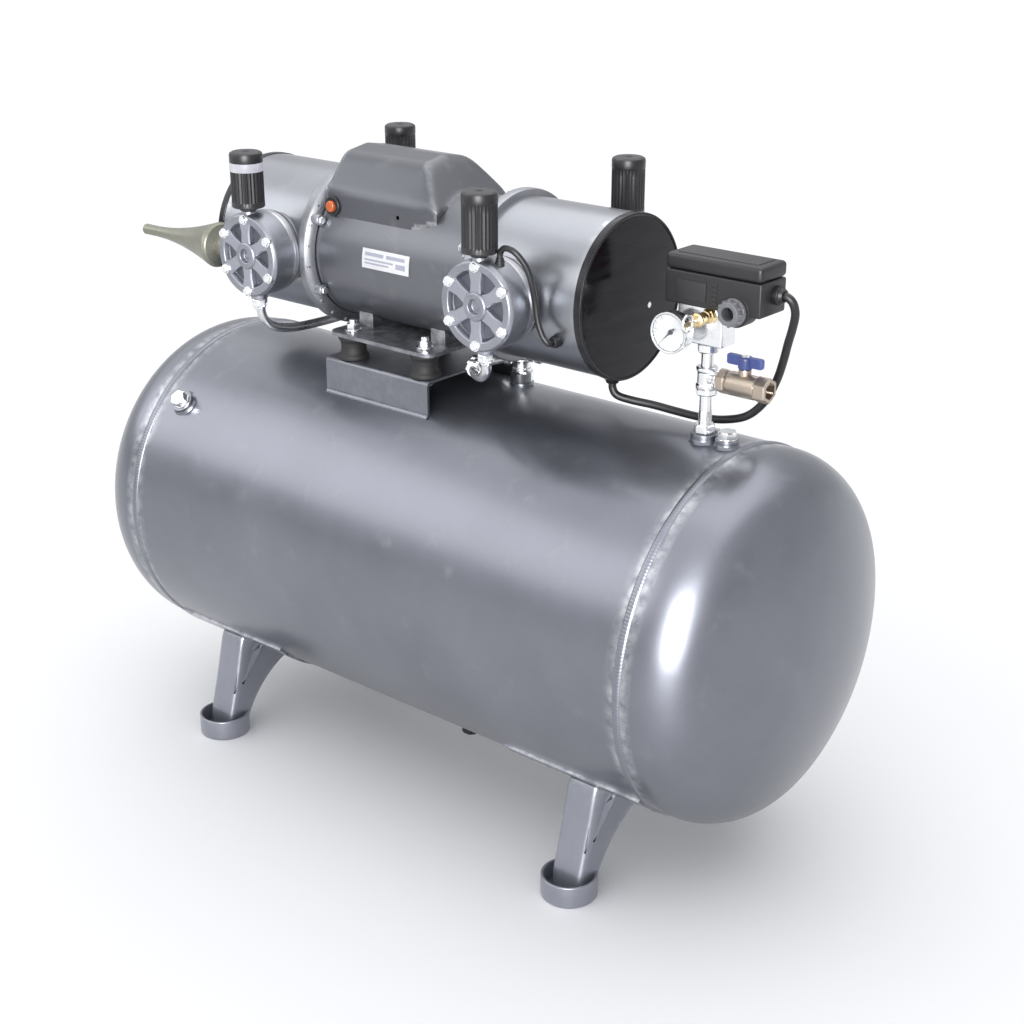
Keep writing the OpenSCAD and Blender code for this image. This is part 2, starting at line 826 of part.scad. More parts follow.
// Cast cap with two chambers, a port boss at the top and one at the bottom
module cylinder_head(front) {
    head_h = head_y1 - head_y0;
    up = front > 0 ? 1 : -1;
    station(front) difference() {
        union() {
            translate([0, 0, head_y0]) cylinder(r = head_r, h = head_h);
            translate([0, 0, head_y1]) cylinder(r = 15, h = 2);
            translate([0, 0, filter_y]) rotate([-90 * up, 0, 0])
                cylinder(r = filter_boss_r, h = head_r + 2);
            translate([0, 0, port_y]) rotate([90 * up, 0, 0]) cylinder(r = port_boss_r, h = head_r + 4);
            if (front < 0) translate([0, 0, port_y]) rotate([0, -90, 0])
                cylinder(r = side_boss_r, h = head_r + 3);
        }
        for (s = [-1, 1]) intersection() {
            translate([0, 0, head_y0 - 1]) cylinder(r = 33, h = 17);
            translate([s > 0 ? 2 : -40, -40, head_y0 - 1]) cube([38, 80, 20]);
        }
        at_head_bolts() translate([0, 0, head_y0 - 1]) cylinder(r = head_bolt_r + 0.25, h = head_h + 2);
    }
}

module cylinder_heads() {
    color([0.80, 0.81, 0.83]) for (front = [1, -1]) both_ends() cylinder_head(front);
}

module head_bolts() {
    four_stations() at_head_bolts() {
        translate([0, 0, barrel_y1 - 6]) cylinder(r = head_bolt_r, h = head_y1 - barrel_y1 + 6);
        translate([0, 0, head_y1]) hexagon(4.6, 3.5);
    }
}

module fasteners() {
    color([0.82, 0.83, 0.85]) {
        head_bolts();
        mount_studs();
    }
}

// Intake filter: a hollow cup on a hexagon neck
module intake_filters() {
    neck_h = filter_z0 - pump_z - head_r - 2;
    color([0.09, 0.09, 0.10]) both_ends() for (s = [-1, 1])
        translate([cyl_x, s * filter_y, filter_z0 - pump_z]) difference() {
            union() {
                translate([0, 0, -neck_h]) hexagon(9.5, neck_h);
                cylinder(r = filter_r, h = filter_h);
            }
            translate([0, 0, -neck_h - 1]) cylinder(r = 4, h = neck_h + 6);
            translate([0, 0, 3]) cylinder(r = filter_r - 3, h = filter_h - 6);
        }
}

module breather_hose() {
    color([0.10, 0.10, 0.11]) swept_tube(smooth_route(hose_route, 4), hose_r, 8);
}

// Tapered adaptor on the front left head, with a plain hose tail at its small end
module hose_adaptor() {
    root_x = pump_mid_x - cyl_x - head_r;
    color([0.52, 0.52, 0.46]) difference() {
        translate([root_x + 3, -port_y, pump_z]) rotate([0, -90, 0]) rotate_extrude() polygon([
            [4, 0], [12, 0], [12, 12], [24, 16], [24, 22], [22, 34], [16, 56], [11, 80], [7.5, 104],
            [6, 118], [6, 142], [4, 142]]);
        translate([pump_mid_x - cyl_x, 0, pump_z]) to_front() cylinder(r = head_r, h = 200);
    }
}

module pipe(route) swept_tube(smooth_route(route, 3), 5, 10);

module discharge_pipes() {
    color([0.74, 0.72, 0.68]) {
        pipe(pipe_front_right);
        pipe(pipe_rear_right);
        pipe(pipe_left);
        pipe(pipe_link);
    }
}

// Check valve on the tank, with the union nuts of the two pipes that reach it
module check_valve() {
    color([0.86, 0.86, 0.84]) translate([check_x, check_y, 0]) difference() {
        union() {
            translate([0, 0, tank_top + 1]) hexagon(13, 12);
            translate([0, 0, tank_top + 13]) cylinder(r = 10, h = 13);
            translate([0, 0, tank_top + 26]) hexagon(12, 14);
            translate([0, 0, union_z]) to_front() cylinder(r = 6.5, h = 20);
            translate([0, 0, union_z]) along_x() cylinder(r = 6.5, h = 20);
            translate([0, 0, tank_top - 8]) cylinder(r = socket_bore_r - 0.2, h = 9);
        }
        translate([0, 0, tank_top - 9]) cylinder(r = 3.5, h = 36);
    }
}

// ---- riser, manifold and its instruments ----

module riser_and_manifold() {
    color([0.84, 0.85, 0.86]) {
        translate([riser_x, 0, 0]) difference() {
            union() {
                translate([0, 0, socket_top - 12])
                    cylinder(r = socket_bore_r - 0.2, h = manifold_z0 - socket_top + 12);
                translate([0, 0, socket_top]) hexagon(11, 9);
                translate([0, 0, outlet_z - 17]) hexagon(11, 7);
                translate([0, 0, outlet_z - 11]) cylinder(r = 10.5, h = 22);
                translate([0, 0, outlet_z]) along_x() cylinder(r = 9, h = 15);
                translate([0, 0, manifold_z0 - 9]) hexagon(11, 9);
            }
            translate([0, 0, socket_top - 13]) cylinder(r = 4, h = 200);
            translate([0, 0, outlet_z]) along_x() cylinder(r = 4, h = 20);
        }
        difference() {
            translate([manifold_x0, -manifold_half_w, manifold_z0])
                cube([manifold_l, 2 * manifold_half_w, manifold_z1 - manifold_z0]);
            translate([riser_x, 0, manifold_z0 - 1]) cylinder(r = 4, h = manifold_z1 - manifold_z0 + 2);
            translate([manifold_x0 + 4, 0, gauge_z]) along_x() cylinder(r = 3, h = 30);
            translate([gauge_x, 0, gauge_z]) to_front() cylinder(r = 3, h = 20);
            translate([safety_x, 0, safety_z]) to_front() cylinder(r = 3, h = 20);
        }
    }
}

module at_gauge() translate([gauge_x, 0, gauge_z]) to_front() children();

module gauge_case() {
    color([0.90, 0.90, 0.92]) at_gauge() {
        difference() {
            union() {
                translate([0, 0, manifold_half_w]) hexagon(7, 5);
                translate([0, 0, manifold_half_w + 5])
                    cylinder(r = 5, h = -gauge_back - manifold_half_w - 5);
                translate([0, 0, -gauge_back]) cylinder(r = gauge_r, h = gauge_back - gauge_front);
            }
            translate([0, 0, -gauge_back + 2]) cylinder(r = dial_r, h = 20);
        }
        translate([0, 0, -gauge_back + 8]) difference() {
            cylinder(r = dial_r, h = 1);
            translate([0, 0, -1]) cylinder(r = 1.5, h = 3);
        }
    }
}

module gauge_needle() {
    color([0.10, 0.10, 0.11]) at_gauge() translate([0, 0, -gauge_back + 7]) {
        cylinder(r = 1.2, h = 5);
        translate([0, 0, 3]) cylinder(r = 2.5, h = 2);
        rotate(225) translate([-4, -0.6, 3.4]) cube([18, 1.2, 0.8]);
    }
}

module gauge_lens() {
    color([0.85, 0.88, 0.90, 0.4]) at_gauge() translate([0, 0, -gauge_front - 2])
        cylinder(r = dial_r, h = 1.5);
}

module switch_base() {
    color([0.09, 0.09, 0.10]) difference() {
        union() {
            translate([switch_x0, -switch_half_w, manifold_z1])
                cube([switch_l, 2 * switch_half_w, switch_base_h]);
            translate([gland_x, -5, gland_z]) to_front() cylinder(r = 15, h = switch_half_w - 5);
        }
        translate([switch_x0 + 3, -switch_half_w + 3, manifold_z1 + 4])
            cube([switch_l - 6, 2 * switch_half_w - 6, 40]);
        translate([riser_x, 0, manifold_z1 - 1]) cylinder(r = 4, h = 6);
        translate([gland_x, 0, gland_z]) to_front() cylinder(r = gland_r + 1.5, h = 40);
        translate([switch_x1 - 10, side_gland_y, side_gland_z]) along_x()
            cylinder(r = cable_r + 0.2, h = 20);
        translate([switch_x0 - 1, 0, lever_z]) along_x() cylinder(r = 4 + run_gap, h = 8);
    }
}

module switch_cover() {
    cover_z = manifold_z1 + switch_base_h;
    cover_h = switch_h - switch_base_h;
    color([0.10, 0.10, 0.11]) difference() {
        translate([switch_x0, -switch_half_w, cover_z]) cube([switch_l, 2 * switch_half_w, cover_h]);
        translate([switch_x0 + switch_wall, -switch_half_w + switch_wall, cover_z - 1])
            cube([switch_l - 2 * switch_wall, 2 * (switch_half_w - switch_wall),
                cover_h + 1 - switch_wall]);
    }
}

// On-off lever on the end of the switch that faces the pump
module switch_lever() {
    color([0.75, 0.10, 0.08]) translate([switch_x0, 0, lever_z]) {
        translate([-7, 0, 0]) along_x() cylinder(r = 8, h = 6.5);
        translate([-7, 0, 0]) along_x() cylinder(r = 4, h = 10);
        translate([-7, -3, 0]) cube([5, 6, 20]);
    }
}

module cable_glands() {
    color([0.20, 0.20, 0.21]) {
        translate([gland_x, -switch_half_w, gland_z]) to_front() tube(13, gland_r, 12);
        translate([switch_x1, side_gland_y, side_gland_z]) along_x() tube(9, cable_r + 0.2, 9);
        difference() {
            translate([housing_gland_x, 0, pump_z - housing_r - 9]) tube(9, cable_r + 0.2, 12);
            pump_axis() cylinder(r = housing_r, h = 400);
        }
        difference() {
            translate([181, -70, 547]) to_front() tube(6, hose_r + 0.2, 13);
            pump_axis() cylinder(r = housing_r, h = 400);
        }
        difference() {
            translate([138, -port_y, 612]) cylinder(r = hose_r + 1.5, h = 15);
            translate([pump_mid_x + cyl_x, 0, pump_z]) to_front() cylinder(r = head_r, h = 200);
        }
    }
}

module motor_cable() {
    color([0.05, 0.05, 0.06]) swept_tube(smooth_route(cable_route, 4), cable_r, 10);
}

module safety_valve_body() {
    color([0.82, 0.74, 0.50]) translate([safety_x, -manifold_half_w, safety_z]) to_front() difference() {
        union() {
            hexagon(7.5, 6);
            translate([0, 0, 6]) cylinder(r = 6, h = 18);
            translate([0, 0, 20]) cylinder(r = 6.8, h = 3);
        }
        translate([0, 0, 6]) cylinder(r = 1.5 + run_gap, h = 20);
    }
}

module safety_valve_ring() {
    color([0.85, 0.86, 0.88]) translate([safety_x, -manifold_half_w, safety_z]) to_front() {
        translate([0, 0, 12]) cylinder(r = 1.5, h = 17.5);
        translate([0, 0, 37]) rotate([0, 90, 0]) rotate_extrude() translate([8, 0]) circle(r = 1.3);
    }
}

module outlet_valve_body() {
    color([0.62, 0.56, 0.48]) translate([0, 0, outlet_z]) difference() {
        union() {
            translate([riser_x + 15, 0, 0]) along_x() hexagon(12.5, 10);
            translate([riser_x + 25, 0, 0]) along_x() cylinder(r = 11.5, h = outlet_end - riser_x - 37);
            translate([outlet_end - 13, 0, 0]) along_x() hexagon(13, 13);
            translate([ball_x, 0, 0]) cylinder(r = 6, h = 16);
        }
        translate([riser_x + 14, 0, 0]) along_x() cylinder(r = 4.5, h = 60);
        translate([outlet_end - 14, 0, 0]) along_x() cylinder(r = outlet_r, h = 16);
        translate([ball_x, 0, 0]) sphere(r = ball_r + run_gap);
        translate([ball_x, 0, 0]) cylinder(r = 3 + run_gap, h = 20);
    }
}

// Bored ball, its stem and the wing handle on top
module outlet_valve_handle() {
    color([0.10, 0.22, 0.55]) translate([ball_x, 0, outlet_z]) {
        difference() {
            union() {
                sphere(r = ball_r);
                cylinder(r = 3, h = 24);
            }
            translate([-ball_r - 1, 0, 0]) along_x() cylinder(r = 4.5, h = 2 * ball_r + 2);
        }
        difference() {
            union() {
                translate([0, 0, 17]) cylinder(r = 7, h = 12);
                translate([-14, -3, 20]) cube([28, 6, 8]);
                for (s = [-1, 1]) translate([14 * s, -3, 24]) to_rear() cylinder(r = 6, h = 6);
            }
            cylinder(r = 3, h = 24);
        }
    }
}

tank_shell();
tank_end_left();
tank_end_right();
weld_seams();
pads_and_sockets();
socket_plugs();
leg_front_left();
leg_front_right();
leg_rear_left();
leg_rear_right();
drain_valve_body();
drain_valve_knob();
pump_saddle();
rubber_mounts();
motor_base();
motor_shell();
end_shield_left();
end_shield_right();
stator_core();
stator_windings();
rotor_core();
drive_shaft();
shaft_bearings();
capacitor_hood();
capacitors();
reset_bezel();
reset_button();
rating_plate();
crank_housing_left();
crank_housing_right();
end_cover_left();
end_cover_right();
cooling_fans();
eccentrics();
cylinder_barrels();
valve_plates();
cylinder_heads();
fasteners();
connecting_rods_left();
connecting_rods_right();
pistons_left();
pistons_right();
intake_filters();
breather_hose();
hose_adaptor();
discharge_pipes();
check_valve();
riser_and_manifold();
gauge_case();
gauge_needle();
gauge_lens();
switch_base();
switch_cover();
switch_lever();
cable_glands();
motor_cable();
safety_valve_body();
safety_valve_ring();
outlet_valve_body();
outlet_valve_handle();
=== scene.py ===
"""Looks of the air compressor: detailed pieces, procedural materials, soft studio light and the camera."""
import math
import random

import bmesh
import bpy
from mathutils import Matrix, Vector


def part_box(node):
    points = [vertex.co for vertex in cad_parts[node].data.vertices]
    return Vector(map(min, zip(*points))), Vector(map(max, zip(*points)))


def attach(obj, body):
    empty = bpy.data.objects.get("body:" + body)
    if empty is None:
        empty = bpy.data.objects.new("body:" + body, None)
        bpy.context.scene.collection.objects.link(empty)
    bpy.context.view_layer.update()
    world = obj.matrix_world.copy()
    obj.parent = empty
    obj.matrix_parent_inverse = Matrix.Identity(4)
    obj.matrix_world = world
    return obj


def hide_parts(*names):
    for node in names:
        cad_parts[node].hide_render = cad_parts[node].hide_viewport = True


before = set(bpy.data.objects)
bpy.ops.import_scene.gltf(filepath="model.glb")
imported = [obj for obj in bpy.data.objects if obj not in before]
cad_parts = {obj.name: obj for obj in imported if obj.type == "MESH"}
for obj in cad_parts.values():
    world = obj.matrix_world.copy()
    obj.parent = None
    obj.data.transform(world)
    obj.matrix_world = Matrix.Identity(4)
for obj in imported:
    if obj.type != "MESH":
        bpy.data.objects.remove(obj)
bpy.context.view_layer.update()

MM = 0.001
SEED = 7
X_AXIS = Vector((1, 0, 0))
Y_AXIS = Vector((0, 1, 0))
Z_AXIS = Vector((0, 0, 1))
FRONT = Vector((0, -1, 0))
rng = random.Random(SEED)


def mm(points):
    """Points given in millimetres, in metres."""
    return [tuple(v * MM for v in p) for p in points]


# ---------------------------------------------------------------- places from the frame

def span(node):
    """Lowest and highest corner of a CAD node, in metres."""
    lo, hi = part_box(node)
    return Vector(lo), Vector(hi)


def middle(node):
    """Middle of a CAD node."""
    lo, hi = span(node)
    return (lo + hi) / 2


shell_lo, shell_hi = span("tank_shell")
TANK_R = (shell_hi.z - shell_lo.z) / 2
TANK_Z = (shell_hi.z + shell_lo.z) / 2
SEAM_X = shell_hi.x
END_X = span("tank_end_right")[1].x
TANK_TOP = shell_hi.z
motor_lo, motor_hi = span("motor_shell")
MOTOR_R = (motor_hi.z - motor_lo.z) / 2
PUMP_Z = (motor_hi.z + motor_lo.z) / 2
PUMP_MID = (motor_lo.x + motor_hi.x) / 2
MOTOR_HALF = (motor_hi.x - motor_lo.x) / 2
housing_lo, housing_hi = span("crank_housing_right")
HOUSING_R = (housing_hi.z - housing_lo.z) / 2
HOUSING_X1 = housing_hi.x - PUMP_MID
CYL_X = 161.5 * MM
HEAD_R = 45 * MM
HEAD_Y0 = 96 * MM
HEAD_Y1 = 124 * MM
BARREL_Y1 = 92 * MM
FILTER_Y = 116 * MM
PORT_Y = 108 * MM


# ---------------------------------------------------------------- mesh helpers

class Shape:
    """Vertices and faces that grow part by part."""

    def __init__(self):
        self.verts = []
        self.faces = []
        self.marks = []

    def add(self, verts, faces, mark=0):
        base = len(self.verts)
        self.verts += [Vector(v) for v in verts]
        self.faces += [[base + i for i in f] for f in faces]
        self.marks += [mark] * len(faces)
        return self


def frame_at(origin, direction, up=None):
    """A matrix that takes local Z to direction and local X near up."""
    z = Vector(direction).normalized()
    hint = Vector(up) if up is not None else (X_AXIS if abs(z.x) < 0.9 else Y_AXIS)
    x = (hint - z * hint.dot(z)).normalized()
    y = z.cross(x)
    m = Matrix((x, y, z)).transposed().to_4x4()
    m.translation = Vector(origin)
    return m


def soften(points, radius, steps=3, closed=True):
    """Rounds the corners of a 2D outline."""
    out = []
    n = len(points)
    for i, p in enumerate(points):
        p = Vector(p)
        if not closed and i in (0, n - 1):
            out.append(p)
            continue
        a = Vector(points[i - 1]) - p
        b = Vector(points[(i + 1) % n]) - p
        reach = min(radius, a.length * 0.45, b.length * 0.45)
        if reach < 1e-6:
            out.append(p)
            continue
        start = p + a.normalized() * reach
        end = p + b.normalized() * reach
        for k in range(steps + 1):
            t = k / steps
            out.append(start * (1 - t) ** 2 + p * 2 * t * (1 - t) + end * t ** 2)
    return out


def lathe(shape, profile, place, segs=96, closed=True, mark=0, wave=None):
    """Turns an outline of (radius, height) about the local Z of place."""
    verts, faces, rings = [], [], []
    for r, z in profile:
        if r < 1e-7:
            rings.append([len(verts)])
            verts.append(place @ Vector((0, 0, z)))
            continue
        ring = []
        for k in range(segs):
            a = 2 * math.pi * k / segs
            rr = r + (wave(a, r, z) if wave else 0)
            ring.append(len(verts))
            verts.append(place @ Vector((rr * math.cos(a), rr * math.sin(a), z)))
        rings.append(ring)
    pairs = list(zip(rings, rings[1:]))
    if closed:
        pairs.append((rings[-1], rings[0]))
    for lower, upper in pairs:
        if len(lower) == 1 and len(upper) == 1:
            continue
        for k in range(segs):
            j = (k + 1) % segs
            if len(lower) == 1:
                faces.append([lower[0], upper[j], upper[k]])
            elif len(upper) == 1:
                faces.append([lower[k], lower[j], upper[0]])
            else:
                faces.append([lower[k], lower[j], upper[j], upper[k]])
    return shape.add(verts, faces, mark)


def ring_profile(r0, r1, z0, z1, edge=0.6 * MM):
    """Outline of a ring or washer with softened edges."""
    return soften([(r0, z0), (r1, z0), (r1, z1), (r0, z1)], edge)


def disc_profile(points, edge=0.6 * MM):
    """Outline of a turned solid that reaches the axis: points go from the bottom to the top."""
    return soften([(0, points[0][1])] + points + [(0, points[-1][1])], edge, closed=False)


def turned(shape, points, place, segs=64, edge=0.6 * MM, mark=0, wave=None):
    """A solid of revolution from its outer outline."""
    return lathe(shape, disc_profile(points, edge), place, segs, False, mark, wave)


def prism(shape, outline, z0, z1, place, edge=0.5 * MM, mark=0):
    """A plate of any convex or simple outline, with chamfered rims."""
    n = len(outline)
    centre = sum((Vector(p) for p in outline), Vector((0, 0))) / n
    verts = []
    for z, inset in ((z0, edge), (z0 + edge, 0), (z1 - edge, 0), (z1, edge)):
        for p in outline:
            p = Vector(p)
            out = p - centre
            q = p - out.normalized() * inset if out.length > 1e-9 else p
            verts.append(place @ Vector((q.x, q.y, z)))
    faces = []
    for level in range(3):
        for k in range(n):
            j = (k + 1) % n
            faces.append([level * n + k, level * n + j, (level + 1) * n + j, (level + 1) * n + k])
    faces.append([n - 1 - k for k in range(n)])
    faces.append([3 * n + k for k in range(n)])
    return shape.add(verts, faces, mark)


def hexagon(r, turn=0.0):
    """Corners of a hexagon."""
    return [(r * math.cos(math.radians(60 * k + turn)), r * math.sin(math.radians(60 * k + turn)))
            for k in range(6)]


def hex_nut(shape, r, z0, z1, place, turn=0.0, mark=0):
    """A hexagon with softened corners and chamfered rims."""
    prism(shape, soften(hexagon(r, turn), r * 0.08, 2), z0, z1, place, min(0.12 * r, (z1 - z0) * 0.3), mark)
    return shape


def block(shape, lo, hi, radius=1.5 * MM, steps=3, mark=0):
    """A box with all its edges rounded."""
    bm = bmesh.new()
    bmesh.ops.create_cube(bm, size=1)
    size = Vector(hi) - Vector(lo)
    mid = (Vector(hi) + Vector(lo)) / 2
    for v in bm.verts:
        v.co = Vector((v.co.x * size.x, v.co.y * size.y, v.co.z * size.z)) + mid
    bmesh.ops.bevel(bm, geom=bm.edges[:], offset=radius, segments=steps, profile=0.5, affect="EDGES")
    bm.verts.index_update()
    shape.add([v.co.copy() for v in bm.verts], [[v.index for v in f.verts] for f in bm.faces], mark)
    bm.free()
    return shape


def curve_points(route, steps):
    """Catmull-Rom points through a route whose first and last segments are straight."""
    pts = [Vector(p) for p in route]
    out = []
    for i in range(len(pts) - 1):
        a, b, c, d = pts[max(i - 1, 0)], pts[i], pts[i + 1], pts[min(i + 2, len(pts) - 1)]
        for s in range(steps):
            t = s / steps
            if i in (0, len(pts) - 2):
                out.append(b.lerp(c, t))
                continue
            out.append(0.5 * (2 * b + (c - a) * t + (2 * a - 5 * b + 4 * c - d) * t * t
                              + (3 * b - a - 3 * c + d) * t * t * t))
    out.append(pts[-1])
    return out


def sweep(shape, path, radius, sides=16, mark=0):
    """A round tube along a path; radius is a number or a function of the share of the path."""
    n = len(path)
    tangents = [(path[min(i + 1, n - 1)] - path[max(i - 1, 0)]).normalized() for i in range(n)]
    side = tangents[0].cross(X_AXIS if abs(tangents[0].x) < 0.9 else Y_AXIS).normalized()
    verts = []
    for i, (p, t) in enumerate(zip(path, tangents)):
        side = (side - t * side.dot(t)).normalized()
        other = t.cross(side)
        r = radius(i / (n - 1)) if callable(radius) else radius
        for k in range(sides):
            a = 2 * math.pi * k / sides
            verts.append(p + side * r * math.cos(a) + other * r * math.sin(a))
    faces = []
    for i in range(n - 1):
        for k in range(sides):
            j = (k + 1) % sides
            faces.append([i * sides + k, i * sides + j, (i + 1) * sides + j, (i + 1) * sides + k])
    faces.append([sides - 1 - k for k in range(sides)])
    faces.append([(n - 1) * sides + k for k in range(sides)])
    return shape.add(verts, faces, mark)


def torus(shape, ring_r, tube_r, place, segs=64, sides=12, mark=0):
    """A ring of round section."""
    profile = [(ring_r + tube_r * math.cos(2 * math.pi * k / sides),
                tube_r * math.sin(2 * math.pi * k / sides)) for k in range(sides)]
    return lathe(shape, profile, place, segs, True, mark)


def piece(name, shape, materials, body, replaces=(), sharp=32):
    """Makes the object, gives it its materials and ties it to its body."""
    mesh = bpy.data.meshes.new(name)
    mesh.from_pydata([tuple(v) for v in shape.verts], [], shape.faces)
    mesh.validate()
    bm = bmesh.new()
    bm.from_mesh(mesh)
    bmesh.ops.recalc_face_normals(bm, faces=bm.faces[:])
    bm.to_mesh(mesh)
    bm.free()
    for m in (materials if isinstance(materials, (list, tuple)) else [materials]):
        mesh.materials.append(m)
    if len(shape.marks) == len(mesh.polygons):
        for poly, mark in zip(mesh.polygons, shape.marks):
            poly.material_index = mark
    mesh.shade_smooth()
    mesh.set_sharp_from_angle(angle=math.radians(sharp))
    obj = bpy.data.objects.new(name, mesh)
    bpy.context.scene.collection.objects.link(obj)
    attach(obj, body)
    if replaces:
        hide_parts(*replaces)
    return obj


def rounded_copy(name, nodes, material, body, edge=0.8 * MM, steps=2, sharp=35, dissolve=1.0, cuts=0):
    """The CAD shape with its sharp edges rounded; cuts adds rings along X."""
    bm = bmesh.new()
    for node in nodes:
        bm.from_mesh(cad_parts[node].data)
    bmesh.ops.remove_doubles(bm, verts=bm.verts[:], dist=1e-6)
    bmesh.ops.dissolve_limit(bm, angle_limit=math.radians(dissolve), verts=bm.verts[:], edges=bm.edges[:])
    if cuts:
        x0 = min(v.co.x for v in bm.verts)
        x1 = max(v.co.x for v in bm.verts)
        for k in range(1, cuts):
            bmesh.ops.bisect_plane(bm, geom=bm.verts[:] + bm.edges[:] + bm.faces[:],
                                   plane_co=(x0 + (x1 - x0) * k / cuts, 0, 0), plane_no=(1, 0, 0))
    mesh = bpy.data.meshes.new(name)
    bm.to_mesh(mesh)
    bm.free()
    mesh.materials.clear()
    mesh.materials.append(material)
    mesh.shade_smooth()
    mesh.set_sharp_from_angle(angle=math.radians(sharp))
    obj = bpy.data.objects.new(name, mesh)
    bpy.context.scene.collection.objects.link(obj)
    mod = obj.modifiers.new("edge", "BEVEL")
    mod.width = edge
    mod.segments = steps
    mod.limit_method = "ANGLE"
    mod.angle_limit = math.radians(sharp)
    mod.harden_normals = True
    mod.use_clamp_overlap = True
    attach(obj, body)
    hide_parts(*nodes)
    return obj


# ---------------------------------------------------------------- materials

class Nodes:
    """Short names for making a node tree."""

    def __init__(self, name):
        self.mat = bpy.data.materials.new(name)
        self.mat.use_nodes = True
        self.tree = self.mat.node_tree
        self.bsdf = self.tree.nodes["Principled BSDF"]
        self.coords = self.new("ShaderNodeTexCoord").outputs["Object"]

    def new(self, kind, **values):
        n = self.tree.nodes.new(kind)
        for key, value in values.items():
            setattr(n, key, value)
        return n

    def link(self, a, b):
        self.tree.links.new(a, b)

    def noise(self, scale, detail=3.0, rough=0.55, stretch=(1, 1, 1)):
        m = self.new("ShaderNodeMapping")
        m.inputs["Scale"].default_value = stretch
        self.link(self.coords, m.inputs["Vector"])
        n = self.new("ShaderNodeTexNoise")
        n.inputs["Scale"].default_value = scale
        n.inputs["Detail"].default_value = detail
        n.inputs["Roughness"].default_value = rough
        self.link(m.outputs["Vector"], n.inputs["Vector"])
        return n.outputs["Fac"]

    def speckle(self, scale):
        v = self.new("ShaderNodeTexVoronoi", feature="F1")
        v.inputs["Scale"].default_value = scale
        self.link(self.coords, v.inputs["Vector"])
        split = self.new("ShaderNodeSeparateColor")
        self.link(v.outputs["Color"], split.inputs["Color"])
        return split.outputs["Red"]

    def span(self, value, lo, hi, out_lo=0.0, out_hi=1.0):
        r = self.new("ShaderNodeMapRange")
        r.inputs["From Min"].default_value = lo
        r.inputs["From Max"].default_value = hi
        r.inputs["To Min"].default_value = out_lo
        r.inputs["To Max"].default_value = out_hi
        self.link(value, r.inputs["Value"])
        return r.outputs["Result"]

    def math(self, op, a, b):
        m = self.new("ShaderNodeMath", operation=op)
        for socket, value in zip(m.inputs, (a, b)):
            if isinstance(value, (int, float)):
                socket.default_value = value
            else:
                self.link(value, socket)
        return m.outputs["Value"]

    def mix(self, factor, a, b):
        m = self.new("ShaderNodeMix", data_type="RGBA")
        if isinstance(factor, (int, float)):
            m.inputs["Factor"].default_value = factor
        else:
            self.link(factor, m.inputs["Factor"])
        for socket, value in ((m.inputs["A"], a), (m.inputs["B"], b)):
            if isinstance(value, (tuple, list)):
                socket.default_value = (*value[:3], 1.0)
            else:
                self.link(value, socket)
        return m.outputs["Result"]

    def bump(self, height, strength, distance):
        b = self.new("ShaderNodeBump")
        b.inputs["Strength"].default_value = strength
        b.inputs["Distance"].default_value = distance
        self.link(height, b.inputs["Height"])
        return b

    def edges(self, lo=0.515, hi=0.56):
        g = self.new("ShaderNodeNewGeometry")
        return self.span(g.outputs["Pointiness"], lo, hi)


def shade(c, k):
    """A colour made k times as bright."""
    return tuple(min(1.0, v * k) for v in c)


def finish_surface(n, colour, rough, bumps):
    """Joins colour, roughness and a chain of bumps to the shader."""
    n.link(colour, n.bsdf.inputs["Base Color"])
    n.link(rough, n.bsdf.inputs["Roughness"])
    last = None
    for height, strength, distance in bumps:
        b = n.bump(height, strength, distance)
        if last is not None:
            n.link(last.outputs["Normal"], b.inputs["Normal"])
        last = b
    n.link(last.outputs["Normal"], n.bsdf.inputs["Normal"])
    return n.mat


def metallic_paint(name, base, metallic=0.75, rough=0.34, flake=0.10, wear=(0.62, 0.63, 0.65), coat=0.25,
                   worn=0.55):
    """Sprayed metallic paint: fine flakes, slight mottling, orange peel and rubbed edges."""
    n = Nodes(name)
    cloud = n.noise(9.0, 4.0)
    grains = n.speckle(2600.0)
    colour = n.mix(n.span(cloud, 0.35, 0.65), shade(base, 0.93), shade(base, 1.06))
    colour = n.mix(n.math("MULTIPLY", n.span(grains, 0.55, 1.0), flake), colour, shade(base, 1.9))
    dust = n.math("MULTIPLY", n.span(n.noise(34.0, 6.0), 0.60, 0.80), 0.10)
    colour = n.mix(dust, colour, (0.62, 0.60, 0.57))
    rub = n.math("MULTIPLY", n.edges(), n.span(n.noise(90.0, 5.0), 0.35, 0.65))
    colour = n.mix(n.math("MULTIPLY", rub, worn), colour, wear)
    r = n.math("ADD", n.span(cloud, 0.3, 0.7, rough - 0.03, rough + 0.04), n.math("MULTIPLY", dust, 1.2))
    n.bsdf.inputs["Metallic"].default_value = metallic
    n.bsdf.inputs["Coat Weight"].default_value = coat
    n.bsdf.inputs["Coat Roughness"].default_value = 0.16
    return finish_surface(n, colour, r, [(n.noise(420.0, 2.0), 0.10, 0.2 * MM), (grains, 0.05, 0.05 * MM)])


def cast_metal(name, base, rough=0.42, grain=0.35, metallic=0.9, cells=700.0):
    """Cast or blasted aluminium: fine pitted skin, darker in the hollows, polished at the edges."""
    n = Nodes(name)
    skin = n.noise(cells, 4.0, 0.65)
    cloud = n.noise(38.0, 4.0)
    colour = n.mix(n.span(cloud, 0.3, 0.7), shade(base, 0.86), shade(base, 1.08))
    colour = n.mix(n.math("MULTIPLY", n.span(skin, 0.55, 0.35), 0.35), colour, shade(base, 0.5))
    colour = n.mix(n.math("MULTIPLY", n.edges(), 0.6), colour, shade(base, 1.35))
    r = n.span(skin, 0.3, 0.7, rough - 0.06, rough + 0.10)
    n.bsdf.inputs["Metallic"].default_value = metallic
    return finish_surface(n, colour, r, [(skin, grain, 0.25 * MM), (cloud, 0.10, 0.5 * MM)])


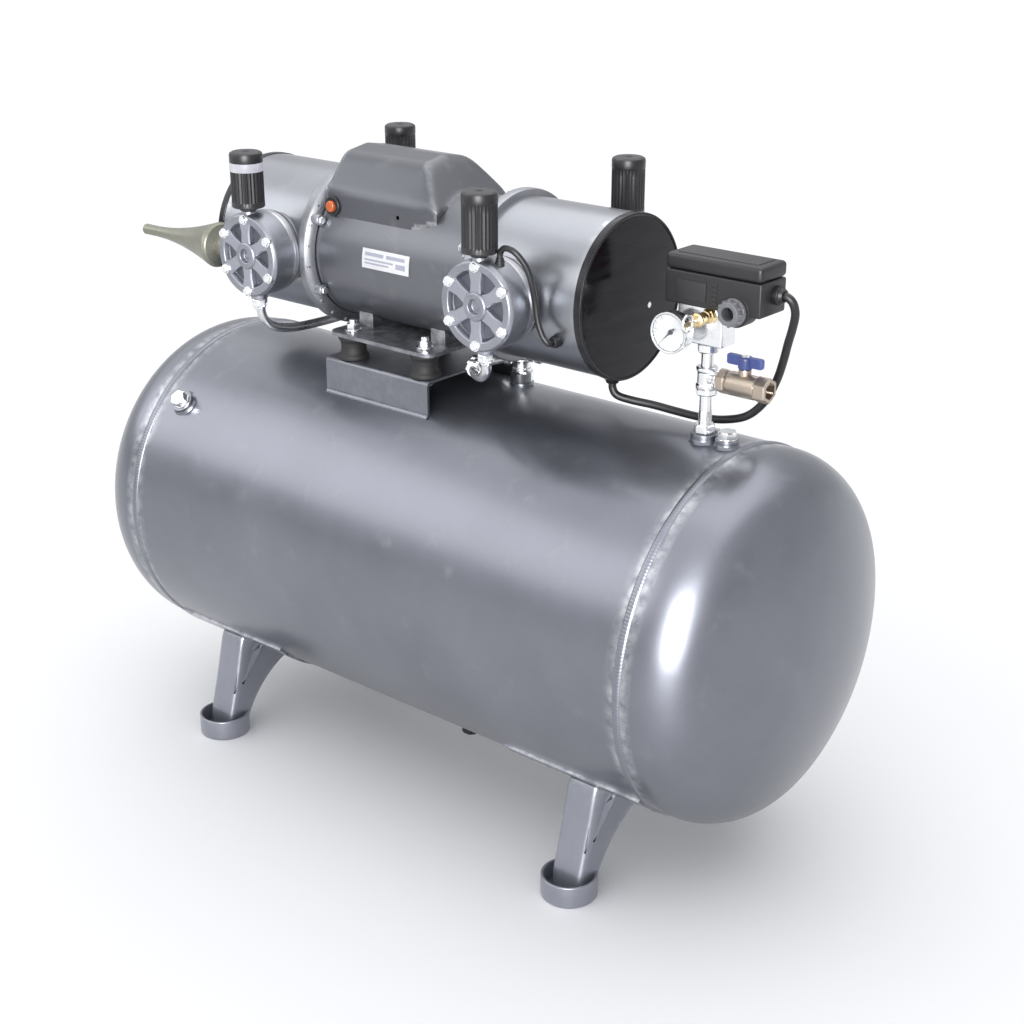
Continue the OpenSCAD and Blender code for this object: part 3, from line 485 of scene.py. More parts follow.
def turned_metal(name, base, rough=0.22, metallic=1.0, stretch=(1, 1, 30), tarnish=(0.35, 0.30, 0.22)):
    """Turned and plated fittings: fine tool marks, light tarnish in patches."""
    n = Nodes(name)
    marks = n.noise(60.0, 3.0, 0.5, stretch)
    patches = n.noise(55.0, 5.0)
    colour = n.mix(n.span(marks, 0.3, 0.7), shade(base, 0.92), shade(base, 1.05))
    colour = n.mix(n.math("MULTIPLY", n.span(patches, 0.55, 0.75), 0.28), colour, tarnish)
    colour = n.mix(n.math("MULTIPLY", n.edges(), 0.35), colour, shade(base, 1.25))
    r = n.span(patches, 0.3, 0.7, rough - 0.05, rough + 0.12)
    n.bsdf.inputs["Metallic"].default_value = metallic
    return finish_surface(n, colour, r, [(marks, 0.12, 0.1 * MM), (patches, 0.06, 0.2 * MM)])


def moulded(name, base, rough=0.45, grain=0.25, cells=900.0, edge=1.6, coat=0.0):
    """Moulded plastic or rubber: fine grain, slight bloom and scuffed edges."""
    n = Nodes(name)
    skin = n.noise(cells, 3.0, 0.6)
    bloom = n.noise(26.0, 5.0)
    colour = n.mix(n.span(bloom, 0.35, 0.7), shade(base, 0.85), shade(base, 1.25))
    colour = n.mix(n.math("MULTIPLY", n.edges(), 0.5), colour, tuple(min(1, v * edge + 0.03) for v in base))
    r = n.math("ADD", n.span(bloom, 0.3, 0.7, rough - 0.05, rough + 0.06), n.math("MULTIPLY", skin, 0.04))
    n.bsdf.inputs["Coat Weight"].default_value = coat
    n.bsdf.inputs["Coat Roughness"].default_value = 0.08
    return finish_surface(n, colour, r, [(skin, grain, 0.12 * MM), (bloom, 0.08, 0.4 * MM)])


def enamel(name, base, rough=0.12):
    """Glossy black enamel with orange peel, dust and fine wiping marks."""
    n = Nodes(name)
    peel = n.noise(190.0, 2.0)
    wipe = n.noise(14.0, 5.0, 0.6, (1, 1, 6))
    colour = n.mix(n.span(wipe, 0.35, 0.7), base, tuple(v + 0.012 for v in base))
    dust = n.math("MULTIPLY", n.span(n.noise(300.0, 4.0), 0.66, 0.80), 0.18)
    colour = n.mix(dust, colour, (0.25, 0.25, 0.26))
    colour = n.mix(n.math("MULTIPLY", n.edges(), 0.5), colour, (0.22, 0.22, 0.23))
    r = n.span(wipe, 0.3, 0.7, rough, rough + 0.12)
    n.bsdf.inputs["Specular IOR Level"].default_value = 0.16
    n.bsdf.inputs["Coat Weight"].default_value = 0.06
    n.bsdf.inputs["Coat Roughness"].default_value = 0.05
    return finish_surface(n, colour, r, [(peel, 0.06, 0.25 * MM), (wipe, 0.03, 0.5 * MM)])


def clear_lens(name):
    """Clear plastic."""
    n = Nodes(name)
    smear = n.noise(40.0, 4.0)
    colour = n.mix(n.span(smear, 0.3, 0.7), (0.95, 0.97, 0.98), (1, 1, 1))
    n.bsdf.inputs["Transmission Weight"].default_value = 1.0
    n.bsdf.inputs["IOR"].default_value = 1.45
    return finish_surface(n, colour, n.span(smear, 0.3, 0.7, 0.0, 0.06), [(smear, 0.02, 0.1 * MM)])


TANK_COLOUR = (0.190, 0.198, 0.228)
M = {
    "tank": metallic_paint("tank_paint", TANK_COLOUR, 0.80, 0.33),
    "saddle": metallic_paint("saddle_paint", shade(TANK_COLOUR, 0.92), 0.75, 0.36, worn=0.08),
    # The legs take the tank paint made 1.45 times as bright: painted light on their shaded faces and feet.
    "leg": metallic_paint("leg_paint_painted_light", shade(TANK_COLOUR, 1.45), 0.50, 0.34, worn=0.30),
    "weld": metallic_paint("weld_paint", shade(TANK_COLOUR, 1.12), 0.80, 0.38),
    "motor": metallic_paint("motor_paint", (0.140, 0.145, 0.163), 0.70, 0.38),
    "hood": metallic_paint("hood_paint", (0.105, 0.109, 0.124), 0.65, 0.36, 0.06),
    "housing": metallic_paint("housing_silver", (0.28, 0.29, 0.315), 0.85, 0.32, 0.08),
    "cast": cast_metal("cast_aluminium", (0.33, 0.335, 0.36)),
    "head": cast_metal("head_casting", (0.31, 0.32, 0.355), 0.38, 0.25),
    # The head casting made darker for the pocket floors: painted shade.
    "head_painted_shade": cast_metal("head_recess_painted_shade", (0.135, 0.138, 0.160), 0.5, 0.4),
    "enamel": enamel("black_enamel", (0.005, 0.005, 0.007)),
    "plastic": moulded("black_plastic", (0.010, 0.010, 0.012), 0.42),
    "filter": moulded("filter_plastic", (0.010, 0.010, 0.013), 0.36, 0.18),
    "light_band": moulded("filter_band", (0.62, 0.62, 0.68), 0.40, 0.15),
    "rubber": moulded("rubber", (0.014, 0.014, 0.015), 0.62, 0.45, 500.0),
    "cable": moulded("cable_jacket", (0.012, 0.012, 0.014), 0.38, 0.15, 1400.0),
    "steel": turned_metal("steel", (0.50, 0.50, 0.52), 0.30),
    "nickel": turned_metal("nickel", (0.78, 0.79, 0.80), 0.17, tarnish=(0.55, 0.53, 0.50)),
    "brass": turned_metal("brass", (0.70, 0.55, 0.30), 0.26),
    "bronze": turned_metal("bronze", (0.42, 0.36, 0.30), 0.33),
    "olive": turned_metal("olive_metal", (0.25, 0.25, 0.205), 0.36, 0.65, tarnish=(0.34, 0.31, 0.22)),
    "pipe": turned_metal("pipe_metal", (0.60, 0.60, 0.61), 0.28),
    "copper": turned_metal("copper_wire", (0.55, 0.24, 0.11), 0.35, stretch=(40, 1, 1)),
    "dial": moulded("dial_white", (0.82, 0.82, 0.84), 0.35, 0.05),
    "print": moulded("dial_print", (0.05, 0.05, 0.06), 0.5, 0.05),
    "label": moulded("label_white", (0.78, 0.78, 0.82), 0.28, 0.05),
    "label_print": moulded("label_print", (0.34, 0.35, 0.42), 0.4, 0.05),
    "orange": moulded("orange_button", (0.80, 0.16, 0.03), 0.28, 0.08, coat=0.4),
    "red": moulded("red_lever", (0.26, 0.018, 0.018), 0.32, 0.08),
    "blue": moulded("blue_handle", (0.055, 0.085, 0.30), 0.36, 0.12),
    "grey_ring": moulded("gland_ring", (0.20, 0.20, 0.22), 0.38, 0.15),
    "lens": clear_lens("clear_lens"),
}


# ---------------------------------------------------------------- camera, floor and light

CAMERA_AT = Vector((1.1573, -1.2971, 0.9985))
CAMERA_AIM = Vector((0.0359, 0.0304, 0.3020))
LENS_MM = 59.8
SENSOR_MM = 36.0
FLOOR_HALF = 30.0


def make_camera():
    """Camera at the right front, above the tank."""
    cam_data = bpy.data.cameras.new("camera")
    cam_data.lens = LENS_MM
    cam_data.sensor_width = SENSOR_MM
    cam_data.clip_end = 50.0
    cam = bpy.data.objects.new("camera", cam_data)
    bpy.context.scene.collection.objects.link(cam)
    cam.location = CAMERA_AT
    cam.rotation_mode = "QUATERNION"
    cam.rotation_quaternion = (CAMERA_AIM - CAMERA_AT).to_track_quat("-Z", "Y")
    bpy.context.scene.camera = cam


def area_light(name, place, aim, size, power):
    """A box that the camera and diffuse surfaces don't see: it shows only as a highlight."""
    data = bpy.data.lights.new(name, "AREA")
    data.shape = "RECTANGLE"
    data.size, data.size_y = size
    data.energy = power
    obj = bpy.data.objects.new(name, data)
    bpy.context.scene.collection.objects.link(obj)
    obj.location = place
    obj.rotation_mode = "QUATERNION"
    obj.rotation_quaternion = (Vector(aim) - Vector(place)).to_track_quat("-Z", "Y")
    obj.visible_camera = False
    obj.visible_diffuse = False


def make_stage():
    """A wide pale floor."""
    n = Nodes("studio_floor")
    cloud = n.noise(1.2, 3.0)
    colour = n.mix(n.span(cloud, 0.3, 0.7), (0.915, 0.915, 0.920), (0.925, 0.925, 0.930))
    floor_mat = finish_surface(n, colour, n.span(cloud, 0.3, 0.7, 0.55, 0.65),
                               [(n.noise(60.0), 0.02, 0.1 * MM)])
    half = FLOOR_HALF
    mesh = bpy.data.meshes.new("studio_floor")
    mesh.from_pydata([(-half, -half, 0), (half, -half, 0), (half, half, 0), (-half, half, 0)], [],
                     [(0, 1, 2, 3)])
    mesh.materials.append(floor_mat)
    floor = bpy.data.objects.new("studio_floor", mesh)
    bpy.context.scene.collection.objects.link(floor)


def make_light():
    """A light room, a very wide soft light from the upper left, and boxes for the long highlights."""
    world = bpy.data.worlds.new("studio")
    world.use_nodes = True
    world.node_tree.nodes["Background"].inputs["Color"].default_value = (0.93, 0.94, 0.97, 1)
    world.node_tree.nodes["Background"].inputs["Strength"].default_value = 0.74
    bpy.context.scene.world = world
    wide = bpy.data.lights.new("wide_soft", "SUN")
    wide.energy = 1.50
    wide.angle = math.radians(110)
    sun = bpy.data.objects.new("wide_soft", wide)
    bpy.context.scene.collection.objects.link(sun)
    sun.rotation_mode = "QUATERNION"
    sun.rotation_quaternion = Vector((0.30, 0.16, -1.0)).to_track_quat("-Z", "Y")
    area_light("key_left", (-1.8, -1.7, 1.75), (0.0, -0.1, 0.35), (2.6, 1.5), 18)
    area_light("front_box", (1.55, -2.3, 1.10), (0.33, -0.15, 0.30), (1.3, 1.6), 135)
    area_light("overhead_box", (0.1, 0.7, 2.6), (0.1, 0.0, 0.3), (3.6, 2.6), 32)


# ---------------------------------------------------------------- tank

def along_x(x, y=0.0, z=TANK_Z, sign=1):
    """A place on the axis of the tank, with local Z along the tank."""
    return frame_at((x, y, z), X_AXIS * sign, Z_AXIS)


def dish_line(inset, steps=28):
    """Half profile of a dished end, from its flange to its crown, as (radius, depth)."""
    depth, knuckle = END_X - SEAM_X - 15 * MM, 65 * MM
    crown = (depth ** 2 + (TANK_R - knuckle) ** 2 - knuckle ** 2) / (2 * (depth - knuckle))
    turn = math.asin((TANK_R - knuckle) / (crown - knuckle))
    line = [(TANK_R - inset, -15 * MM)]
    for k in range(steps + 1):
        a = (math.pi / 2 - turn) * k / steps
        line.append((TANK_R - knuckle + (knuckle - inset) * math.cos(a), (knuckle - inset) * math.sin(a)))
    for k in range(1, steps + 1):
        a = turn * (1 - k / steps)
        line.append(((crown - inset) * math.sin(a), depth - crown + (crown - inset) * math.cos(a)))
    return line


def make_tank():
    """Rolled shell and two dished ends, each with its wall."""
    wall = 3 * MM
    shell = Shape()
    rings = [(TANK_R, -SEAM_X + 2 * SEAM_X * k / 60) for k in range(61)]
    lathe(shell, rings + [(TANK_R - wall, SEAM_X), (TANK_R - wall, -SEAM_X)], along_x(0), 240)
    piece("tank_shell_skin", shell, M["tank"], "frame", ["tank_shell"])
    for side, node in ((1, "tank_end_right"), (-1, "tank_end_left")):
        end = Shape()
        outer = dish_line(0)
        inner = dish_line(wall)
        lathe(end, outer + inner[::-1], along_x(side * (SEAM_X + 15 * MM), sign=side), 240, True)
        piece(node + "_skin", end, M["tank"], "frame", [node])


def bead(shape, point, out, along, length_of, count, half_w, height):
    """A weld bead: overlapping crescent ripples along a line; point(t) and out(t) give its place."""
    sides = 8
    verts, faces = [], []
    for i in range(count + 1):
        t = i / count
        ripple = 0.80 + 0.20 * abs(math.sin(math.pi * (t * length_of / (3.4 * MM))))
        p, o, a = point(t), out(t), along(t)
        for k in range(sides + 1):
            s = -1 + 2 * k / sides
            rise = height * ripple * math.sqrt(max(0.0, 1 - s * s))
            lag = 1.3 * MM * (1 - s * s)
            verts.append(p + a * (half_w * s) + o * rise + a.cross(o) * lag)
    w = sides + 1
    for i in range(count):
        for k in range(sides):
            faces.append([i * w + k, i * w + k + 1, (i + 1) * w + k + 1, (i + 1) * w + k])
    shape.add(verts, faces)


def make_welds():
    """The weld beads of the tank."""
    shape = Shape()
    for side in (-1, 1):
        def on_ring(t, side=side):
            a = 2 * math.pi * t
            return Vector((side * SEAM_X, TANK_R * math.cos(a), TANK_Z + TANK_R * math.sin(a)))

        def outwards(t):
            a = 2 * math.pi * t
            return Vector((0, math.cos(a), math.sin(a)))
        bead(shape, on_ring, outwards, lambda t: X_AXIS, 2 * math.pi * TANK_R, 1400, 4.4 * MM, 1.7 * MM)
    lo, hi = span("pump_saddle")
    for s in (-1, 1):
        y = s * (hi.y + 0.6 * MM)
        z = TANK_Z + math.sqrt(TANK_R ** 2 - y ** 2) - 0.2 * MM
        out = Vector((0, s * 0.85, 0.53)).normalized()
        run = Vector((0, s * -0.53, 0.85)).normalized()
        bead(shape, lambda t, y=y, z=z: Vector((lo.x + (hi.x - lo.x) * t, y, z)), lambda t, o=out: o,
             lambda t, r=run: r, hi.x - lo.x, 200, 3.2 * MM, 2.4 * MM)
    seam_angle = math.radians(62)
    y, z = TANK_R * math.cos(seam_angle), TANK_Z + TANK_R * math.sin(seam_angle)
    out = Vector((0, math.cos(seam_angle), math.sin(seam_angle)))
    bead(shape, lambda t: Vector((-SEAM_X + 2 * SEAM_X * t, y, z)), lambda t: out,
         lambda t: Vector((0, -out.z, out.y)), 2 * SEAM_X, 900, 3.4 * MM, 1.1 * MM)
    piece("weld_beads", shape, M["weld"], "frame", ["weld_seams"], 60)


def socket(shape, base, direction, r, bore, height):
    """A socket with a weld fillet round its foot."""
    place = frame_at(base, direction)
    lathe(shape, soften([(bore, -2 * MM), (r + 3.5 * MM, -1.5 * MM), (r + 1.2 * MM, 0.9 * MM),
                         (r, 2.6 * MM), (r, height), (bore, height)], 0.8 * MM), place, 64)


def make_sockets():
    """Sockets and pads welded to the tank, and the plugs of the spare sockets."""
    shape = Shape()
    up = Z_AXIS
    riser = middle("riser_and_manifold").x + 3 * MM
    socket(shape, (riser, 0, TANK_TOP), up, 13 * MM, 6.3 * MM, 8 * MM)
    socket(shape, (riser + 26 * MM, 0, TANK_TOP), up, 11.5 * MM, 6.3 * MM, 7 * MM)
    socket(shape, (0, 0, TANK_Z - TANK_R), -up, 13 * MM, 6 * MM, 8 * MM)
    check_z = TANK_Z + math.sqrt(TANK_R ** 2 - CHECK_AT.y ** 2) - 3 * MM
    socket(shape, CHECK_AT + up * check_z, up, 13 * MM, 6.3 * MM, TANK_TOP + 1 * MM - check_z)
    plug_dir = Vector((0, -math.cos(math.radians(44)), math.sin(math.radians(44))))
    plug_at = Vector((-307 * MM, 0, TANK_Z)) + plug_dir * TANK_R
    socket(shape, plug_at, plug_dir, 13 * MM, 6.3 * MM, 6 * MM)
    pad_t, half_angle = 3 * MM, math.radians(46)
    for s in (-1, 1):
        x0, x1 = (168 * MM, 338 * MM) if s > 0 else (-338 * MM, -168 * MM)
        rows = []
        steps = 48
        for k in range(steps + 1):
            a = -math.pi / 2 - half_angle + 2 * half_angle * k / steps
            out = Vector((0, math.cos(a), math.sin(a)))
            axis = Vector((0, 0, TANK_Z))
            ring = []
            for x, r in ((x0, TANK_R), (x0, TANK_R + pad_t - 0.8 * MM), (x0 + 0.8 * MM, TANK_R + pad_t),
                         (x1 - 0.8 * MM, TANK_R + pad_t), (x1, TANK_R + pad_t - 0.8 * MM), (x1, TANK_R)):
                ring.append(axis + out * r + Vector((x, 0, 0)))
            rows.append(ring)
        verts = [v for ring in rows for v in ring]
        faces = []
        for i in range(steps):
            for k in range(6):
                j = (k + 1) % 6
                faces.append([i * 6 + k, i * 6 + j, (i + 1) * 6 + j, (i + 1) * 6 + k])
        faces.append(list(range(6)))
        faces.append([steps * 6 + k for k in range(5, -1, -1)])
        shape.add(verts, faces)
    piece("pads_and_bosses", shape, M["tank"], "frame", ["pads_and_sockets"])
    plugs = Shape()
    for base, direction, r, h in (((riser + 26 * MM, 0, TANK_TOP + 7 * MM), up, 9.8 * MM, 8 * MM),
                                  (plug_at + plug_dir * 6 * MM, plug_dir, 10 * MM, 9 * MM)):
        place = frame_at(base, direction)
        hex_nut(plugs, r, 0, h, place)
        turned(plugs, mm([(6.1, -12), (6.1, 0.2)]), place, 32)
        torus(plugs, r * 0.92, 0.8 * MM, frame_at(Vector(base) + Vector(direction) * 0.5 * MM, direction),
              48, 8)
    piece("blanking_plugs", plugs, M["nickel"], "frame", ["socket_plugs"])


# ---------------------------------------------------------------- legs

def make_leg(name, node, sx, sy):
    """A bent channel that stands in a round cup; sx and sy put it at its corner."""
    leg_x, foot_y, half_w, sheet, corner = 262 * MM, 148 * MM, 19 * MM, 3 * MM, 6 * MM
    outer = [Vector((foot_y + 7 * MM, 3 * MM)), Vector((foot_y + 6 * MM, 24 * MM)),
             Vector((150 * MM, 37 * MM)), Vector((138 * MM, 79 * MM)), Vector((126 * MM, 121 * MM))]
    inner = []
    for k in range(13):
        a = math.radians(15.1 + (88 - 15.1) * k / 12)
        inner.append(Vector((38 * MM + 96 * MM * math.cos(a), -22 * MM + 96 * MM * math.sin(a))))

    def on_line(line, t):
        lengths = [0.0]
        for a, b in zip(line, line[1:]):
            lengths.append(lengths[-1] + (b - a).length)
        d = t * lengths[-1]
        for i in range(len(line) - 1):
            if d <= lengths[i + 1] + 1e-12:
                f = (d - lengths[i]) / max(lengths[i + 1] - lengths[i], 1e-9)
                return line[i].lerp(line[i + 1], f)
        return line[-1].copy()

    columns = []
    for k in range(7):
        columns.append((-half_w, 1 - k / 7))
    for k in range(1, 5):
        a = math.radians(22.5 * k)
        columns.append((-half_w + corner * (1 - math.cos(a)), -(corner * (1 - math.sin(a)))))
    columns += [(-x, c) for x, c in columns[::-1]]
    rows = 20
    verts = []
    for i in range(rows + 1):
        v = i / rows
        o, n = on_line(outer, v), on_line(inner, v)
        reach = (n - o).length
        way = (n - o).normalized()
        for x, c in columns:
            share = -c / reach if c <= 0 else (corner + (reach - corner) * c) / reach
            p = o + way * reach * share
            arc = TANK_Z - math.sqrt(max((TANK_R + 3 * MM) ** 2 - p.x ** 2, 0.0))
            p.y += (arc - p.y) * v ** 6
            verts.append(Vector((sx * leg_x + x, sy * p.x, p.y)))
    w = len(columns)
    faces = [[i * w + k, i * w + k + 1, (i + 1) * w + k + 1, (i + 1) * w + k] for i in range(rows)
             for k in range(w - 1)]
    mesh = bpy.data.meshes.new(name)
    mesh.from_pydata([tuple(v) for v in verts], [], faces)
    bm = bmesh.new()
    bm.from_mesh(mesh)
    bmesh.ops.recalc_face_normals(bm, faces=bm.faces[:])
    flange_faces = sorted(bm.faces, key=lambda f: abs(f.calc_center_median().y))[-1]
    if flange_faces.normal.y * sy < 0:
        bmesh.ops.reverse_faces(bm, faces=bm.faces[:])
    bmesh.ops.solidify(bm, geom=bm.faces[:], thickness=sheet)
    # A fold at the top of the channel can throw a corner far out: such a corner goes back to its neighbours.
    for v in bm.verts:
        ring = [e.other_vert(v).co for e in v.link_edges]
        centre = sum(ring, Vector()) / len(ring)
        if (v.co - centre).length > 12 * sheet:
            v.co = centre
    sheet_verts = [v.co.copy() for v in bm.verts]
    bm.verts.index_update()
    sheet_faces = [[v.index for v in f.verts] for f in bm.faces]
    bm.free()
    bpy.data.meshes.remove(mesh)
    shape = Shape()
    shape.add(sheet_verts, sheet_faces)
    cup_r, rim, hole = 29 * MM, 24 * MM, 5.5 * MM
    lathe(shape, soften([(hole, 0), (cup_r, 0), (cup_r, rim), (cup_r - sheet, rim),
                         (cup_r - sheet, sheet), (hole, sheet)], 2.6 * MM, 4),
          frame_at((sx * leg_x, sy * foot_y, 0), Z_AXIS), 72)
    piece(name, shape, M["leg"], "frame", [node], 40)


def make_legs():
    for sx, side in ((-1, "left"), (1, "right")):
        for sy, face in ((-1, "front"), (1, "rear")):
            make_leg(f"leg_{face}_{side}_sheet", f"leg_{face}_{side}", sx, sy)


# ---------------------------------------------------------------- saddle, mounts, base

def make_saddle():
    """An upside-down U of bent sheet."""
    lo, hi = span("pump_saddle")
    sheet = 3 * MM
    foot = TANK_Z + math.sqrt(TANK_R ** 2 - hi.y ** 2)
    outer = soften([(-hi.y, foot), (-hi.y, hi.z), (hi.y, hi.z), (hi.y, foot)], 6 * MM, 6, False)
    inner = soften([(-hi.y + sheet, foot + 1 * MM), (-hi.y + sheet, hi.z - sheet),
                    (hi.y - sheet, hi.z - sheet), (hi.y - sheet, foot + 1 * MM)], 3.5 * MM, 6, False)
    outline = outer + inner[::-1]
    shape = Shape()
    verts, faces = [], []
    xs = [lo.x, lo.x + 0.6 * MM, hi.x - 0.6 * MM, hi.x]
    n = len(outline)
    for k, x in enumerate(xs):
        grow = -0.5 * MM if k in (0, 3) else 0
        for i, (y, z) in enumerate(outline):
            z2 = z + (grow if i < len(outer) else -grow)
            verts.append(Vector((x, y, z2)))
    for k in range(3):
        for i in range(n):
            j = (i + 1) % n
            faces.append([k * n + i, k * n + j, (k + 1) * n + j, (k + 1) * n + i])
    half = len(outer)
    for base, flip in ((0, False), (3 * n, True)):
        for i in range(half - 1):
            quad = [base + i, base + i + 1, base + n - 2 - i, base + n - 1 - i]
            faces.append(quad[::-1] if flip else quad)
    shape.add(verts, faces)
    piece("pump_saddle_sheet", shape, M["saddle"], "frame", ["pump_saddle"])


def mount_places():
    """Where the four rubber mounts stand."""
    lo, hi = span("rubber_mounts")
    inset = 16.5 * MM
    return [(x, y) for x in (lo.x + inset, hi.x - inset) for y in (lo.y + inset, hi.y - inset)]


def make_mounts():
    """The rubber mounts, and one piece with the studs and bolts."""
    lo, hi = span("rubber_mounts")
    height = hi.z - lo.z
    rubber, studs = Shape(), Shape()
    base_t = 4 * MM
    for x, y in mount_places():
        place = frame_at((x, y, lo.z), Z_AXIS)
        lathe(rubber, soften([(4 * MM, 0), (16.5 * MM, 0), (16.5 * MM, 4 * MM), (14.2 * MM, 7 * MM),
                              (13.4 * MM, height / 2), (14.2 * MM, height - 7 * MM),
                              (16.5 * MM, height - 4 * MM), (16.5 * MM, height), (4 * MM, height)],
                             1.6 * MM, 4), place, 56)
        top = frame_at((x, y, hi.z + base_t), Z_AXIS)
        lathe(studs, ring_profile(4 * MM, 9 * MM, 0, 2 * MM), top, 40)
        hex_nut(studs, 7.5 * MM, 2 * MM, 8 * MM, top, rng.uniform(0, 60))
        thread = soften(mm([(0, -30), (4, -30), (4, 12), (0, 13)]), 1 * MM, 3, False)
        lathe(studs, thread, top, 32, False)
        low = frame_at((x, y, lo.z - 3 * MM), -Z_AXIS)
        lathe(studs, ring_profile(4 * MM, 9 * MM, 0, 2 * MM), low, 40)
        hex_nut(studs, 7.5 * MM, 2 * MM, 8 * MM, low, rng.uniform(0, 60))
        turned(studs, mm([(4, -4), (4, 10)]), low, 32)
    for front in (1, -1):
        for side in (1, -1):
            place = station(side, front)
            for k in range(6):
                a = math.radians(60 * k + 30)
                at = place @ Matrix.Translation((38.5 * MM * math.cos(a), 38.5 * MM * math.sin(a), HEAD_Y1))
                hex_nut(studs, 4.6 * MM, 0.2 * MM, 3.5 * MM, at, rng.uniform(0, 60))
                lathe(studs, ring_profile(2.2 * MM, 5.4 * MM, -0.2 * MM, 0.7 * MM, 0.2 * MM), at, 24)
    piece("bolts_and_studs", studs, M["nickel"], "frame", ["fasteners"])
    piece("rubber_buffers", rubber, M["rubber"], "frame", ["rubber_mounts"])


# ---------------------------------------------------------------- motor

def pump_axis(u=0.0, side=1):
    """A place on the pump axis, u from its middle, with local Z towards that side."""
    return frame_at((PUMP_MID + side * u, 0, PUMP_Z), X_AXIS * side, Z_AXIS)


def make_motor():
    """The motor shell and the castings beside it."""
    shell = Shape()
    r, h = MOTOR_R, MOTOR_HALF
    middle_rings = [(r - 0.5 * MM, -h + 8 * MM + (2 * h - 16 * MM) * k / 24) for k in range(25)]
    line = [(r - 4 * MM, -h), (r, -h), (r, -h + 5 * MM), (r - 0.5 * MM, -h + 6 * MM)] + middle_rings
    line += [(r - 0.5 * MM, h - 6 * MM), (r, h - 5 * MM), (r, h), (r - 4 * MM, h)]
    lathe(shell, soften(line, 0.7 * MM, 3), pump_axis(), 180)
    piece("motor_shell_skin", shell, M["motor"], "frame", ["motor_shell"])
    for side, node in ((1, "end_shield_right"), (-1, "end_shield_left")):
        shape = Shape()
        place = pump_axis(MOTOR_HALF, side)
        lathe(shape, soften([(17 * MM, 0), (MOTOR_R, 0), (MOTOR_R + 1 * MM, -3 * MM),
                             (MOTOR_R + 7 * MM, -1 * MM), (88 * MM, 3 * MM), (88 * MM, 14 * MM),
                             (17 * MM, 14 * MM)], 2.2 * MM, 4), place, 144)
        for degrees in (62, 118, 242, 298):
            a = math.radians(degrees)
            lug = place @ Matrix.Translation((80.5 * MM * math.cos(a), 80.5 * MM * math.sin(a), 0))
            turned(shape, mm([(6, -8), (6.3, 3)]), lug, 32, 1 * MM)
            hex_nut(shape, 4.4 * MM, -10.5 * MM, -7.8 * MM, lug, degrees, 1)
        for k in range(24):
            a = 2 * math.pi * (k + 0.5) / 24
            rib = place @ Matrix.Rotation(a, 4, "Z") @ Matrix.Translation((83.0 * MM, 0, 1.0 * MM))
            outline = mm([(-5, -1.1), (3.4, -1.1), (3.4, 1.1), (-5, 1.1)])
            prism(shape, outline, -1.6 * MM, 2 * MM, rib, 0.4 * MM)
        piece(node + "_casting", shape, [M["cast"], M["nickel"]], "frame", [node])


def make_hood():
    """Pressed half-round hood whose right end is drawn down in a slope."""
    lo, hi = span("capacitor_hood")
    half_w = (hi.y - lo.y) / 2
    length = hi.x - lo.x
    slope_start, slope_end, slope_foot = hi.x - 36 * MM, hi.x, 644 * MM
    half = soften([(half_w, 620 * MM), (half_w, 648 * MM), (half_w - 30 * MM, hi.z - 5 * MM), (0, hi.z)],
                  9 * MM, 5, False)
    section = []
    for p, q in zip(half, half[1:]):
        pieces = max(1, round((q - p).length / (3.5 * MM)))
        section += [p.lerp(q, j / pieces) for j in range(pieces)]
    section += [Vector((-p.x, p.y)) for p in [half[-1]] + section[::-1]]
    cols = len(section) - 1
    rows = 52

    def foot_z(y):
        return PUMP_Z + math.sqrt(max((MOTOR_R - 0.4 * MM) ** 2 - y * y, 0.0))

    def soft_min(a, b, k):
        share = max(k - abs(a - b), 0.0) / k
        return min(a, b) - share * share * k / 4
    verts = []
    for i in range(rows + 1):
        t = i / rows
        x = lo.x + length * t
        inset_left = 5 * MM * max(0.0, 1 - (x - lo.x) / (5 * MM)) ** 2
        falling = slope_foot + (hi.z - slope_foot) * (slope_end - x) / (slope_end - slope_start)
        narrow = 1 - 0.10 * max(0.0, (x - slope_start) / (slope_end - slope_start)) ** 2
        for k, p in enumerate(section):
            y = p.x * narrow * (1 - inset_left / half_w)
            z = soft_min(p.y, falling, 9 * MM) - inset_left * 0.8
            base = foot_z(y)
            if k in (0, cols):
                z = base - 0.5 * MM
            verts.append(Vector((x, y, max(z, base - 0.2 * MM))))
    w = cols + 1
    faces = [[i * w + k, i * w + k + 1, (i + 1) * w + k + 1, (i + 1) * w + k] for i in range(rows)
             for k in range(cols)]
    for row in (0, rows):
        start = len(verts)
        ring = [verts[row * w + k] for k in range(w)]
        for p in ring:
            verts.append(Vector((p.x, p.y, foot_z(p.y) - 0.5 * MM)))
        for k in range(cols):
            faces.append([row * w + k, row * w + k + 1, start + k + 1, start + k])
    shape = Shape()
    shape.add(verts, faces)
    for x in (lo.x + 20 * MM, hi.x - 48 * MM):
        for s in (-1, 1):
            at = frame_at((x, s * (half_w - 0.4 * MM), 633 * MM), Y_AXIS * s)
            turned(shape, mm([(3.4, -1), (3.4, 0.2), (2.4, 0.4)]), at, 24, 0.2 * MM, 1)
    piece("capacitor_hood_pressing", shape, [M["hood"], M["nickel"]], "frame",
          ["capacitor_hood"], 50)


